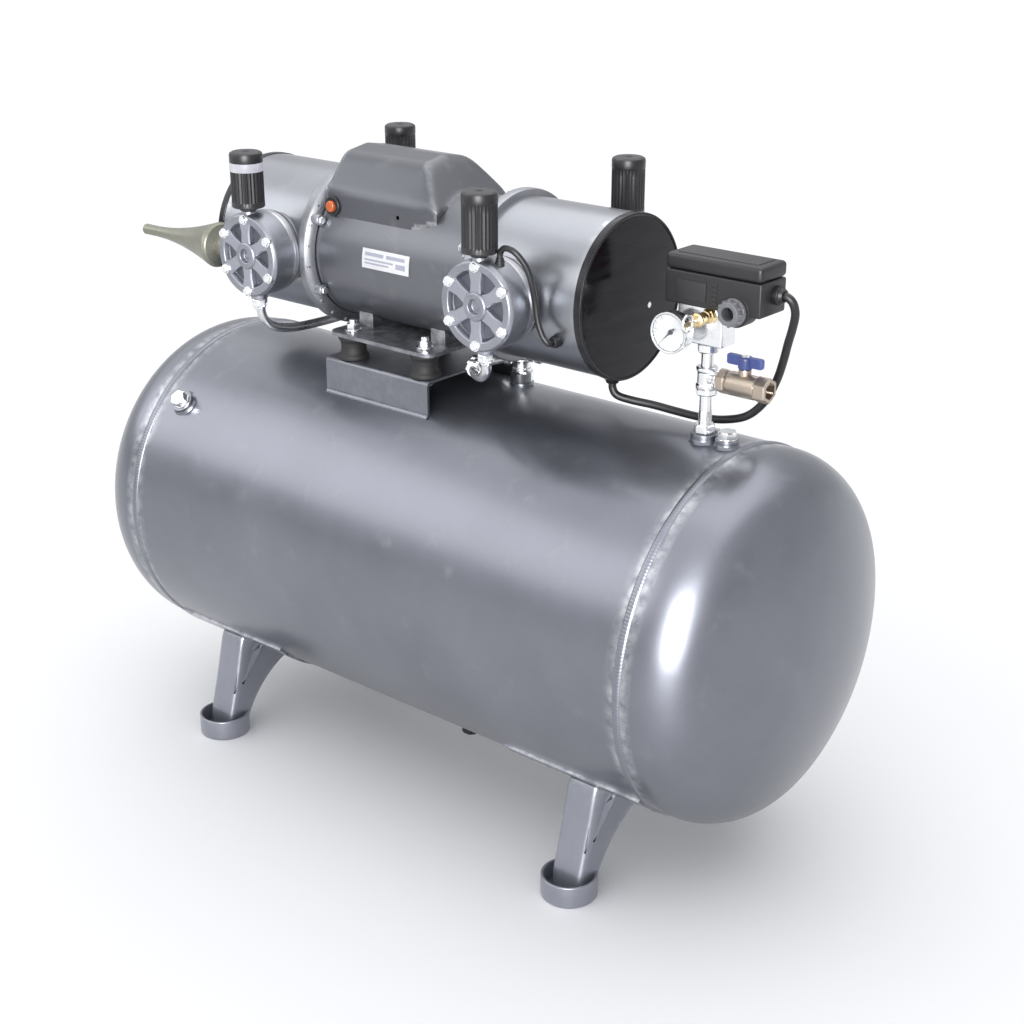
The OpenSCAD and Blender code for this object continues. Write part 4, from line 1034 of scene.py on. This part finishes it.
def make_reset():
    """Orange reset button in its black bezel."""
    lo, hi = span("reset_bezel")
    at = middle("reset_bezel")
    bezel = Shape()
    place = frame_at((at.x, hi.y, at.z), FRONT)
    depth = hi.y - lo.y
    lathe(bezel, soften([(6.3 * MM, 2 * MM), (6.3 * MM, depth), (9.6 * MM, depth),
                         (10.5 * MM, depth - 1 * MM), (10.5 * MM, depth - 3 * MM),
                         (9.5 * MM, depth - 3 * MM), (9.5 * MM, 0), (5 * MM, 0), (5 * MM, 2 * MM)],
                        0.5 * MM), place, 56)
    piece("reset_bezel_ring", bezel, M["plastic"], "frame", ["reset_bezel"])
    lo, hi = span("reset_button")
    button = Shape()
    place = frame_at((at.x, hi.y, at.z), FRONT)
    depth = hi.y - lo.y
    turned(button, [(5.9 * MM, 0), (5.95 * MM, depth - 1.6 * MM), (4.9 * MM, depth - 0.3 * MM),
                    (2.5 * MM, depth)], place, 48, 0.8 * MM)
    piece("reset_button_cap", button, M["orange"], "reset_button", ["reset_button"])


def make_plate():
    """Curved white plate with plain grey bars in place of print."""
    lo, hi = span("rating_plate")
    shape = Shape()

    def patch(x0, x1, z0, z1, r0, r1, mark, nx=10):
        verts, faces = [], []
        for r in (r0, r1):
            for i in range(nx + 1):
                z = z0 + (z1 - z0) * i / nx
                y = -math.sqrt(max(r * r - (z - PUMP_Z) ** 2, 0))
                verts += [Vector((x0, y, z)), Vector((x1, y, z))]
        m = 2 * (nx + 1)
        for i in range(nx):
            a, b, c, d = 2 * i, 2 * i + 1, 2 * i + 3, 2 * i + 2
            faces.append([m + a, m + b, m + c, m + d])
            faces.append([a, d, c, b])
            faces.append([a, m + a, m + d, d])
            faces.append([b, c, m + c, m + b])
        faces.append([0, 1, m + 1, m])
        faces.append([2 * nx, m + 2 * nx, m + 2 * nx + 1, 2 * nx + 1])
        shape.add(verts, faces, mark)
    patch(lo.x, hi.x, lo.z, hi.z, MOTOR_R - 0.2 * MM, MOTOR_R + 0.55 * MM, 0)
    bars = ((4, 30, 13, 16.5), (34, 60, 13, 16.5), (4, 44, 8.2, 9.8), (4, 38, 4.6, 6.2), (48, 61, 4.6, 9.8))
    for x0, x1, z0, z1 in bars:
        patch(lo.x + x0 * MM, lo.x + x1 * MM, lo.z + z0 * MM, lo.z + z1 * MM, MOTOR_R + 0.5 * MM,
              MOTOR_R + 0.7 * MM, 1, 3)
    piece("rating_plate_blank", shape, [M["label"], M["label_print"]], "frame",
          ["rating_plate"])


# ---------------------------------------------------------------- pump ends

def station(side, front):
    """Place of one cylinder: local Z points outwards along the cylinder axis, local Y is up."""
    return frame_at((PUMP_MID + side * CYL_X, 0, PUMP_Z), FRONT * front, X_AXIS * front)


def make_end_covers():
    """Shallow black domes that close the crank housings."""
    r = HOUSING_R + 1 * MM
    for side, node in ((1, "end_cover_right"), (-1, "end_cover_left")):
        place = pump_axis(HOUSING_X1, side)
        shape = Shape()
        steps = 18
        dome = [((r - 4.5 * MM) * (1 - k / steps), 7.6 * MM + 3.3 * MM * (1 - (1 - k / steps) ** 2))
                for k in range(steps + 1)]
        line = soften([(r - 3 * MM, 0), (r, 0), (r, 8.2 * MM), (r - 2.0 * MM, 8.8 * MM),
                       (r - 3.6 * MM, 7.5 * MM)], 1.0 * MM, 3, False)
        lathe(shape, line + dome, place, 160, False)
        screw = place @ Matrix.Translation((-12 * MM, -26 * MM * side, 9.4 * MM))
        turned(shape, mm([(3.6, -1), (3.6, 0.7), (2.4, 1.4)]), screw, 28, 0.3 * MM, 1)
        piece(node + "_dome", shape, [M["enamel"], M["nickel"]], "frame", [node])


def make_cylinders():
    """Finned barrels and ground valve plates."""
    barrels, plates = Shape(), Shape()
    for front in (1, -1):
        for side in (1, -1):
            place = station(side, front)
            fins = mm([(31.5, 56), (38, 56), (38, 80.5)])
            for z in (81.2, 84.6):
                fins += [(38.5 * MM, z * MM), (42.4 * MM, (z + 0.5) * MM), (42.4 * MM, (z + 1.3) * MM),
                         (38.5 * MM, (z + 1.9) * MM)]
            fins += [(38.5 * MM, 87.6 * MM), (44 * MM, 88 * MM), (44 * MM, BARREL_Y1),
                     (31.5 * MM, BARREL_Y1)]
            lathe(barrels, soften(fins, 0.5 * MM, 2), place, 88)
            lathe(plates, ring_profile(4 * MM, 44 * MM, BARREL_Y1, HEAD_Y0, 0.5 * MM), place, 88)
    piece("cylinder_barrels_finned", barrels, M["cast"], "frame", ["cylinder_barrels"])
    piece("valve_plates_ground", plates, M["steel"], "frame", ["valve_plates"])


def make_heads():
    """Cast heads: a thick rim, six ribs between pockets whose floors carry painted shade, a hub, and the port
    bosses.
    """
    shape = Shape()
    for front in (1, -1):
        for side in (1, -1):
            place = station(side, front)
            floor_z, rib_z = HEAD_Y1 - 6.5 * MM, HEAD_Y1
            rim = soften([(0, HEAD_Y0), (HEAD_R, HEAD_Y0), (HEAD_R, rib_z - 4 * MM),
                          (HEAD_R - 2.6 * MM, rib_z), (HEAD_R - 10 * MM, rib_z),
                          (HEAD_R - 12 * MM, floor_z + 1 * MM)], 1.3 * MM, 3, False)
            lathe(shape, rim, place, 96, False)
            # Pocket floors take the darker copy of the head casting: painted shade.
            lathe(shape, [(HEAD_R - 12 * MM, floor_z + 1 * MM), (HEAD_R - 13 * MM, floor_z),
                          (0, floor_z)], place, 96, False, 1)
            lathe(shape, soften([(0, floor_z + 3 * MM), (6.5 * MM, floor_z + 3 * MM),
                                 (7.5 * MM, rib_z + 1.8 * MM), (13 * MM, rib_z + 1.8 * MM),
                                 (14.5 * MM, rib_z), (15 * MM, floor_z - 1 * MM)], 0.9 * MM, 3, False),
                  place, 56, False)
            for k in range(6):
                a = math.radians(60 * k + 30)
                arm = place @ Matrix.Rotation(a, 4, "Z")
                outline = mm([(11, -6.6), (24, -6.2), (36, -8.4), (36, 8.4), (24, 6.2), (11, 6.6)])
                prism(shape, outline, floor_z - 1 * MM, rib_z - 0.2 * MM, arm, 1.4 * MM)
                boss = arm @ Matrix.Translation((38.5 * MM, 0, 0))
                turned(shape, [(6 * MM, floor_z), (5.8 * MM, rib_z)], boss, 32, 0.5 * MM)
            up = Z_AXIS
            x = PUMP_MID + side * CYL_X
            top = frame_at((x, -front * FILTER_Y, PUMP_Z), up)
            lathe(shape, soften([(5 * MM, 38 * MM), (7.5 * MM, 38 * MM), (7.4 * MM, HEAD_R + 2 * MM),
                                 (5 * MM, HEAD_R + 2 * MM)], 0.8 * MM), top, 40)
            low = frame_at((x, -front * PORT_Y, PUMP_Z), -up)
            turned(shape, [(9.8 * MM, 38 * MM), (9 * MM, HEAD_R + 4 * MM)], low, 40, 0.8 * MM)
            if front < 0:
                inward = frame_at((x, PORT_Y, PUMP_Z), X_AXIS * -side)
                turned(shape, [(8.8 * MM, 38 * MM), (8 * MM, HEAD_R + 3 * MM)], inward, 40, 0.8 * MM)
    piece("cylinder_heads_ribbed", shape, [M["head"], M["head_painted_shade"]], "frame",
          ["cylinder_heads"], 30)


def make_filters():
    """The fluted intake filters; one has a light band."""
    shape = Shape()
    body_z, height = 631 * MM, 58 * MM
    flutes = 28

    def fluted(a, r, z):
        inside = 6 * MM < z < height - 11 * MM and r > 15 * MM
        return -0.7 * MM * (0.5 + 0.5 * math.cos(flutes * a)) if inside else 0.0
    for side in (1, -1):
        for front in (1, -1):
            place = frame_at((PUMP_MID + side * CYL_X, -front * FILTER_Y, body_z), Z_AXIS)
            r = 17.5 * MM
            line = [(0, 0), (r - 1 * MM, 0), (r, 1.2 * MM), (r, 5.6 * MM), (r - 0.2 * MM, 6.2 * MM)]
            line += [(r - 0.2 * MM, 7 * MM + (height - 19 * MM) * k / 6) for k in range(7)]
            line += [(r - 0.2 * MM, height - 10.8 * MM), (r, height - 10 * MM), (r, height - 3 * MM),
                     (r - 0.8 * MM, height - 1.2 * MM), (r - 3 * MM, height), (4 * MM, height),
                     (3 * MM, height - 0.8 * MM), (0, height - 0.8 * MM)]
            lathe(shape, line, place, flutes * 6, False, 0, fluted)
            hex_nut(shape, 9.5 * MM, -4 * MM, 0.1 * MM, place)
            if side < 0 and front > 0:
                lathe(shape, ring_profile(r - 1 * MM, r + 0.35 * MM, height - 20 * MM, height - 11 * MM,
                                          0.3 * MM), place, 96, True, 1)
    piece("intake_filters_fluted", shape, [M["filter"], M["light_band"]], "frame",
          ["intake_filters"], 28)


# ---------------------------------------------------------------- hoses, pipes and the cable

# Middle lines of the bent tubes, in millimetres, as the CAD solids have them.
CABLE_ROUTE = [
    (373, 5, 608), (381, 5, 608), (387, 7, 603), (388, 11, 592), (384, 15, 578), (377, 20, 560),
    (371, 24, 542), (363, 27, 520), (351, 28, 497), (333, 27, 479), (308, 26, 470), (282, 25, 467),
    (256, 22, 468), (232, 16, 471), (210, 7, 474), (197, 1, 478), (192, 0, 486), (192, 0, 497),
]
HOSE_ROUTE = [
    (138, -108, 627), (138, -108, 631), (144, -108, 637), (155, -106, 634), (164, -101, 621), (168, -97, 604),
    (169, -93, 586), (171, -92, 569), (176, -91, 555), (181, -89, 548), (181, -85, 547), (181, -79, 547),
]
PIPE_ROUTES = [
    [(120, -108, 531), (120, -108, 524), (118, -106, 512), (108, -100, 503), (92, -90, 499), (76, -76, 498),
     (64, -60, 497), (55, -38, 493), (50, -12, 489), (50, 4, 488), (50, 10, 488)],
    [(120, 108, 531), (120, 108, 524), (119, 104, 508), (115, 90, 496), (108, 66, 489), (98, 44, 487),
     (86, 32, 488), (76, 30, 488), (70, 30, 488)],
    [(-203, -108, 531), (-203, -108, 524), (-203, -103, 507), (-203, -88, 495), (-203, -56, 488),
     (-203, 0, 486), (-203, 56, 488), (-203, 88, 495), (-203, 103, 507), (-203, 108, 524), (-203, 108, 531)],
    [(-155, 108, 580), (-148, 108, 580), (-132, 112, 576), (-110, 114, 572), (-42, 114, 570),
     (27, 114, 572), (49, 112, 576), (65, 108, 580), (72, 108, 580)],
]
COUPLING_AT = Vector((66, -63, 497)) * MM
CHECK_AT = Vector((50, 30, 0)) * MM
UNION_Z = 488 * MM


def in_metres(route):
    """The points of a route as vectors in metres."""
    return [Vector(p) * MM for p in route]


def make_tubes():
    """Motor cable, breather hose, and the discharge pipes with their nuts."""
    cable = Shape()
    sweep(cable, curve_points(in_metres(CABLE_ROUTE), 10), 4 * MM, 20)
    piece("motor_cable_jacket", cable, M["cable"], "frame", ["motor_cable"], 60)
    hose = Shape()
    sweep(hose, curve_points(in_metres(HOSE_ROUTE), 10), 3 * MM, 18)
    piece("breather_hose_tube", hose, M["cable"], "frame", ["breather_hose"], 60)
    pipes = Shape()
    for route in PIPE_ROUTES:
        path = curve_points(in_metres(route), 10)
        sweep(pipes, path, 5 * MM, 20)
        for end, towards in ((path[0], path[1]), (path[-1], path[-2])):
            at = frame_at(end, towards - end)
            hex_nut(pipes, 8.6 * MM, 0.2 * MM, 9 * MM, at, 0, 1)
            turned(pipes, mm([(6.8, 8.8), (5.6, 12)]), at, 32, 0.6 * MM, 1)
    run = Vector((-12, 16, 0))
    for turn, shift in ((0, -11 * MM), (15, 2 * MM)):
        hex_nut(pipes, 9.5 * MM, shift, shift + 9 * MM, frame_at(COUPLING_AT, run), turn, 1)
    turned(pipes, mm([(7.4, -14), (7.4, 14)]), frame_at(COUPLING_AT, run), 36, 0.6 * MM, 1)
    piece("discharge_pipes_bent", pipes, [M["pipe"], M["nickel"]], "frame",
          ["discharge_pipes"], 45)


def make_glands():
    """Open gland on the switch, side gland, cable gland under the pump, hose barb and grommet."""
    shape = Shape()
    front = frame_at((344 * MM, -22 * MM, 593 * MM), FRONT)
    lathe(shape, soften(mm([(6.5, 0), (13, 0), (13, 3), (11.6, 4), (11.6, 9), (10.8, 12), (6.5, 12)]),
                        0.7 * MM), front, 64, True, 1)
    for k in range(12):
        a = 2 * math.pi * k / 12
        rib = front @ Matrix.Rotation(a, 4, "Z") @ Matrix.Translation((11.8 * MM, 0, 0))
        prism(shape, mm([(-0.6, -1.2), (1.0, -0.8), (1.0, 0.8), (-0.6, 1.2)]), 3.6 * MM, 10 * MM, rib,
              0.3 * MM, 1)
    lathe(shape, ring_profile(6.4 * MM, 8 * MM, -13 * MM, 0.5 * MM), front, 40)
    for at, direction, r, depth in (((371 * MM, 5 * MM, 608 * MM), X_AXIS, 9 * MM, 9 * MM),
                                    ((192 * MM, 0, 500 * MM), -Z_AXIS, 9 * MM, 10 * MM)):
        place = frame_at(at, direction)
        lathe(shape, soften([(4.2 * MM, 0), (r, 0), (r, depth * 0.55), (r - 1.5 * MM, depth * 0.62),
                             (r - 3 * MM, depth), (4.2 * MM, depth)], 0.6 * MM), place, 48)
        hex_nut(shape, r, 0.2 * MM, depth * 0.5, place)
    barb = frame_at((138 * MM, -108 * MM, 616 * MM), Z_AXIS)
    lathe(shape, soften(mm([(0, 0), (4.5, 0), (4.5, 8), (3.8, 9), (3.9, 11), (0, 11)]), 0.4 * MM, 3,
                        False), barb, 32, False)
    grommet = frame_at((181 * MM, -72 * MM, 547 * MM), FRONT)
    lathe(shape, soften(mm([(3.2, 0), (6, 0), (6, 7), (4.6, 11), (3.2, 11)]), 0.9 * MM), grommet, 40)
    piece("glands_and_grommets", shape, [M["plastic"], M["grey_ring"]], "frame",
          ["cable_glands"])


def make_adaptor():
    """Trumpet-shaped adaptor on the front left head, with a ringed tail for a hose."""
    hi = span("hose_adaptor")[1]
    shape = Shape()
    place = frame_at((hi.x, -PORT_Y, PUMP_Z), -X_AXIS, Z_AXIS)
    root = [(4, -2), (12, -2), (12, 11), (22.5, 14), (24, 16), (24, 21)]
    horn = [(6.1 + 17.5 * (1 - k / 20) ** 1.7, 22 + 95 * k / 20) for k in range(21)]
    tail = []
    for k in range(4):
        z = 119 + 5.5 * k
        tail += [(6.0, z), (5.2, z + 0.8), (6.0, z + 5.0)]
    end = [(6.0, 141), (5.6, 142), (4, 142)]
    line = [(r * MM, z * MM) for r, z in root + horn + tail + end]
    lathe(shape, soften(line, 0.5 * MM, 2), place, 72)
    torus(shape, 23.4 * MM, 1.2 * MM, place @ Matrix.Translation((0, 0, 18.5 * MM)), 72, 10)
    piece("hose_adaptor_horn", shape, M["olive"], "frame", ["hose_adaptor"])


# ---------------------------------------------------------------- fittings on the tank

def make_check_valve():
    """The check valve on the tank and its side stubs."""
    shape = Shape()
    z0 = TANK_TOP + 1 * MM
    place = frame_at(CHECK_AT + Z_AXIS * z0, Z_AXIS)
    hex_nut(shape, 13 * MM, 0, 12 * MM, place)
    turned(shape, mm([(10, 11.5), (10, 15), (9.2, 16), (9.2, 22), (10, 23), (10, 25.5)]), place, 56)
    hex_nut(shape, 12 * MM, 25 * MM, 39 * MM, place, 8)
    turned(shape, mm([(6, -9), (6, 1)]), place, 32)
    for direction in (FRONT, X_AXIS):
        stub = frame_at(CHECK_AT + Z_AXIS * UNION_Z, direction)
        turned(shape, mm([(6.5, 5), (6.5, 20)]), stub, 40)
        hex_nut(shape, 8.8 * MM, 10.5 * MM, 17 * MM, stub, 20)
    piece("check_valve_turned", shape, M["nickel"], "frame", ["check_valve"])


def make_riser():
    """The riser pipe, its branch and the manifold on top."""
    shape = Shape()
    x, z0 = 303 * MM, TANK_TOP + 8 * MM
    place = frame_at((x, 0, 0), Z_AXIS)
    turned(shape, [(6 * MM, z0 - 12 * MM), (6 * MM, 553 * MM)], place, 40)
    for z, h, r in ((463, 9, 11), (501, 7, 11), (543, 9, 11)):
        hex_nut(shape, r * MM, z * MM, (z + h) * MM, place, 12)
    for k in range(9):
        torus(shape, 6 * MM, 0.45 * MM, frame_at((x, 0, (474 + 1.3 * k) * MM), Z_AXIS), 32, 6)
    turned(shape, mm([(9.6, 507), (10.5, 508.5), (10.5, 511), (9.4, 512.5), (9.4, 524), (10.5, 525.5),
                      (10.5, 528), (9.6, 529)]), place, 48)
    branch = frame_at((x, 0, 518 * MM), X_AXIS)
    turned(shape, mm([(8.4, 4), (8.4, 11), (9.2, 12), (9.2, 15)]), branch, 48)
    block(shape, (275 * MM, -12 * MM, 552 * MM), (325 * MM, 12 * MM, 590 * MM), 1.6 * MM, 3)
    piece("riser_and_manifold_turned", shape, M["nickel"], "frame", ["riser_and_manifold"])


def make_gauge():
    """Gauge with a white dial, its needle and its lens."""
    centre = middle("gauge_lens")
    r = 20 * MM
    back = frame_at((centre.x, -24 * MM, centre.z), FRONT, X_AXIS)
    shape = Shape()
    turned(shape, mm([(6.6, -12), (6.6, -7.5), (5, -7), (5, 0.5)]), back, 40, 0.5 * MM)
    hex_nut(shape, 7 * MM, -12 * MM, -7 * MM, back)
    lathe(shape, soften([(0, 0), (r - 2 * MM, 0), (r - 0.6 * MM, 2 * MM), (r - 0.6 * MM, 11 * MM),
                         (r, 12 * MM), (r, 16 * MM), (r - 2.2 * MM, 16 * MM), (r - 2.6 * MM, 13.6 * MM),
                         (r - 2.6 * MM, 9 * MM), (0, 9 * MM)], 0.8 * MM, 3, False), back, 96, False)
    turned(shape, [(r - 2.7 * MM, 8.2 * MM), (r - 2.7 * MM, 9.2 * MM)], back, 72, 0.2 * MM, 1)
    for k in range(31):
        a = math.radians(225 - 9 * k)
        long = k % 5 == 0
        tick = back @ Matrix.Rotation(a, 4, "Z") @ Matrix.Translation((r * 0.78, 0, 9.2 * MM))
        half_l, half_w = ((2.0, 0.28) if long else (1.1, 0.16))
        prism(shape, [(-half_l * MM, -half_w * MM), (half_l * MM * 0.6, -half_w * MM),
                      (half_l * MM * 0.6, half_w * MM), (-half_l * MM, half_w * MM)], 0, 0.12 * MM, tick,
              0.02 * MM, 2)
    piece("gauge_case_turned", shape, [M["nickel"], M["dial"], M["print"]], "frame",
          ["gauge_case"])
    needle = Shape()
    pivot = back @ Matrix.Translation((0, 0, 10.2 * MM))
    turned(needle, mm([(2.4, 0), (2.4, 1.4)]), pivot, 28, 0.3 * MM)
    blade = pivot @ Matrix.Rotation(math.radians(225), 4, "Z")
    prism(needle, mm([(-4.5, -0.9), (3, -0.8), (13.4, -0.15), (13.4, 0.15), (3, 0.8), (-4.5, 0.9)]),
          0.3 * MM, 0.8 * MM, blade, 0.08 * MM)
    piece("gauge_needle_blade", needle, M["print"], "needle", ["gauge_needle"])
    lens = Shape()
    turned(lens, [(r - 2.4 * MM, 14 * MM), (r - 2.4 * MM, 15.2 * MM)], back, 72, 0.2 * MM)
    piece("gauge_lens_disc", lens, M["lens"], "frame", ["gauge_lens"])


def make_switch():
    """Pressure switch: base, cover and on-off lever."""
    lo, hi = span("switch_base")
    shape = Shape()
    block(shape, (lo.x, -21.2 * MM, 590 * MM), (hi.x, 21.4 * MM, 622 * MM), 2.2 * MM, 4)
    turned(shape, mm([(15, 4), (15, 21.6)]), frame_at((344 * MM, 0, 593 * MM), FRONT), 64, 1 * MM)
    block(shape, (lo.x + 12 * MM, -22.0 * MM, 596 * MM), (lo.x + 46 * MM, -21.0 * MM, 614 * MM), 0.4 * MM,
          2)
    for k in range(5):
        z = (595.5 + 4.4 * k) * MM
        block(shape, (lo.x + 52 * MM, -22.0 * MM, z), (lo.x + 58 * MM, -21.2 * MM, z + 2.2 * MM),
              0.35 * MM, 2)
    piece("switch_base_moulding", shape, M["plastic"], "frame", ["switch_base"])
    lo, hi = span("switch_cover")
    cover = Shape()
    block(cover, (lo.x, lo.y, 622.5 * MM), (hi.x, hi.y, hi.z - 0.8 * MM), 4.2 * MM, 5)
    block(cover, (lo.x + 9 * MM, lo.y + 8 * MM, hi.z - 3 * MM), (hi.x - 9 * MM, hi.y - 8 * MM, hi.z),
          0.75 * MM, 3)
    piece("switch_cover_moulding", cover, M["plastic"], "frame", ["switch_cover"])
    lever = Shape()
    llo, lhi = span("switch_lever")
    at = frame_at((llo.x, 0, 611 * MM), X_AXIS, Z_AXIS)
    turned(lever, mm([(7.4, 0), (8, 1.4), (8, 6.5)]), at, 48, 0.6 * MM)
    turned(lever, mm([(4, 6), (4, 10)]), at, 32, 0.3 * MM)
    block(lever, (llo.x, -3 * MM, 611 * MM), (llo.x + 5 * MM, 3 * MM, lhi.z), 1.2 * MM, 3)
    piece("switch_lever_moulding", lever, M["red"], "switch_lever", ["switch_lever"])


def make_safety_valve():
    """Brass safety valve and its pull ring."""
    shape = Shape()
    place = frame_at((312 * MM, -12 * MM, 582 * MM), FRONT)
    hex_nut(shape, 7.5 * MM, 0, 6 * MM, place)
    lathe(shape,
          soften(mm([(1.55, 6), (6, 6), (6, 9), (5, 10), (5, 14), (6, 15), (6, 19), (6.8, 20), (6.8, 23),
                     (5, 24), (1.55, 24)]), 0.4 * MM), place, 48)
    piece("safety_valve_turned", shape, M["brass"], "frame", ["safety_valve_body"])
    ring = Shape()
    turned(ring, mm([(1.5, 12), (1.5, 30)]), place, 24, 0.2 * MM)
    hoop = frame_at((312 * MM, -49 * MM, 582 * MM), X_AXIS)
    torus(ring, 8 * MM, 1.25 * MM, hoop, 56, 12)
    torus(ring, 8 * MM, 1.1 * MM, hoop @ Matrix.Translation((0.2 * MM, 0, 0)), 56, 12)
    piece("safety_ring_wire", ring, M["nickel"], "safety_ring", ["safety_valve_ring"])


def make_outlet_valve():
    """The ball valve with its open bore, and the winged handle."""
    shape = Shape()
    z = 518 * MM
    at = frame_at((318 * MM, 0, z), X_AXIS, Z_AXIS)
    hex_nut(shape, 12.5 * MM, 0, 10 * MM, at)
    lathe(shape,
          soften(mm([(4.5, 9), (10.5, 9), (11.5, 13), (11.5, 31), (11.3, 42.2), (8.3, 42.2), (4.5, 40)]),
                 1 * MM), at, 64)
    outline = soften(hexagon(13 * MM), 1 * MM, 2)
    n = len(outline)
    verts, faces = [], []
    for x, grow in ((42, -1.2), (43.2, 0), (53.8, 0), (55, -1.2)):
        verts += [at @ Vector((p.x + p.normalized().x * grow * MM, p.y + p.normalized().y * grow * MM,
                               x * MM)) for p in outline]
    for x in (55, 42):
        verts += [at @ Vector((p.normalized().x * 8.3 * MM, p.normalized().y * 8.3 * MM, x * MM))
                  for p in outline]
    for level in range(5):
        for k in range(n):
            j = (k + 1) % n
            faces.append([level * n + k, level * n + j, (level + 1) * n + j, (level + 1) * n + k])
    for k in range(n):
        j = (k + 1) % n
        faces.append([5 * n + k, 5 * n + j, j, k])
    shape.add(verts, faces)
    for k in range(7):
        torus(shape, 8.35 * MM, 0.35 * MM, at @ Matrix.Translation((0, 0, (43.5 + 1.6 * k) * MM)), 48, 6)
    neck = frame_at((345 * MM, 0, z), Z_AXIS)
    lathe(shape, ring_profile(3.1 * MM, 6 * MM, 8 * MM, 16 * MM), neck, 36)
    piece("outlet_valve_turned", shape, M["bronze"], "frame", ["outlet_valve_body"])
    handle = Shape()
    turned(handle, mm([(3, 4), (3, 26)]), neck, 28, 0.3 * MM, 1)
    turned(handle, mm([(7, 17), (7, 26.5), (6, 28.2)]), neck, 40, 0.8 * MM)
    wing = soften(mm([(-19.5, -2.6), (-14, -3), (0, -2.6), (14, -3), (19.5, -2.6), (19.5, 2.6), (14, 3),
                      (0, 2.6), (-14, 3), (-19.5, 2.6)]), 1.5 * MM, 3)
    prism(handle, wing, 19 * MM, 28.4 * MM, neck, 1.2 * MM)
    hex_nut(handle, 4.2 * MM, 26 * MM, 29 * MM, neck, 0, 1)
    piece("outlet_valve_wing", handle, [M["blue"], M["nickel"]], "valve_handle",
          ["outlet_valve_handle"])


def make_drain():
    """Drain valve under the tank and its lobed knob."""
    lo, hi = span("drain_valve_body")
    shape = Shape()
    place = frame_at((0, 0, 0), Z_AXIS)
    z = lo.z
    turned(shape, [(7 * MM, z), (8 * MM, z + 1 * MM), (8 * MM, z + 18.2 * MM)], place, 40)
    hex_nut(shape, 11 * MM, z + 18 * MM, z + 26 * MM, place)
    spout = frame_at((0, 0, z + 9 * MM), FRONT)
    lathe(shape, soften(mm([(2.5, 4), (4.5, 4), (4.5, 15), (4.0, 17), (2.5, 17)]), 0.4 * MM), spout, 32)
    piece("drain_valve_turned", shape, M["brass"], "frame", ["drain_valve_body"])
    knob = Shape()
    lo, hi = span("drain_valve_knob")
    lathe(knob, soften([(0, lo.z), (9 * MM, lo.z), (11 * MM, lo.z + 2 * MM), (11 * MM, lo.z + 10 * MM),
                        (9 * MM, lo.z + 12 * MM), (2.9 * MM, lo.z + 12 * MM), (2.9 * MM, hi.z),
                        (0, hi.z)], 0.5 * MM, 3, False), place, 96, False, 0, lambda a, r,
          z: -1.1 * MM * max(0, math.cos(8 * a)) if r > 8.5 * MM else 0)
    piece("drain_knob_lobed", knob, M["plastic"], "drain_knob", ["drain_valve_knob"])


# ---------------------------------------------------------------- CAD nodes that stay

STAY = {
    "steel": ["drive_shaft", "shaft_bearings", "stator_core", "rotor_core", "eccentrics"],
    "cast": ["connecting_rods_left", "connecting_rods_right", "pistons_left", "pistons_right"],
    "plastic": ["capacitors", "cooling_fans"],
    "copper": ["stator_windings"],
}


def dress_hidden_nodes():
    """Gives the CAD nodes that stay inside the motor and pump their materials."""
    for material, nodes in STAY.items():
        for node in nodes:
            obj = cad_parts[node]
            if not obj.material_slots:
                obj.data.materials.append(M[material])
            for s in obj.material_slots:
                s.material = M[material]


bpy.context.scene.view_settings.view_transform = "Standard"
make_camera()
make_stage()
make_light()
make_tank()
make_welds()
make_sockets()
make_legs()
make_saddle()
make_mounts()
rounded_copy("motor_base_plate", ["motor_base"], M["motor"], "frame", 0.9 * MM)
make_motor()
make_hood()
make_reset()
make_plate()
rounded_copy("crank_housing_right_tube", ["crank_housing_right"], M["housing"], "frame",
             0.9 * MM, cuts=16)
rounded_copy("crank_housing_left_tube", ["crank_housing_left"], M["housing"], "frame",
             0.9 * MM, cuts=16)
make_end_covers()
make_cylinders()
make_heads()
make_filters()
make_tubes()
make_glands()
make_adaptor()
make_check_valve()
make_riser()
make_gauge()
make_switch()
make_safety_valve()
make_outlet_valve()
make_drain()
dress_hidden_nodes()
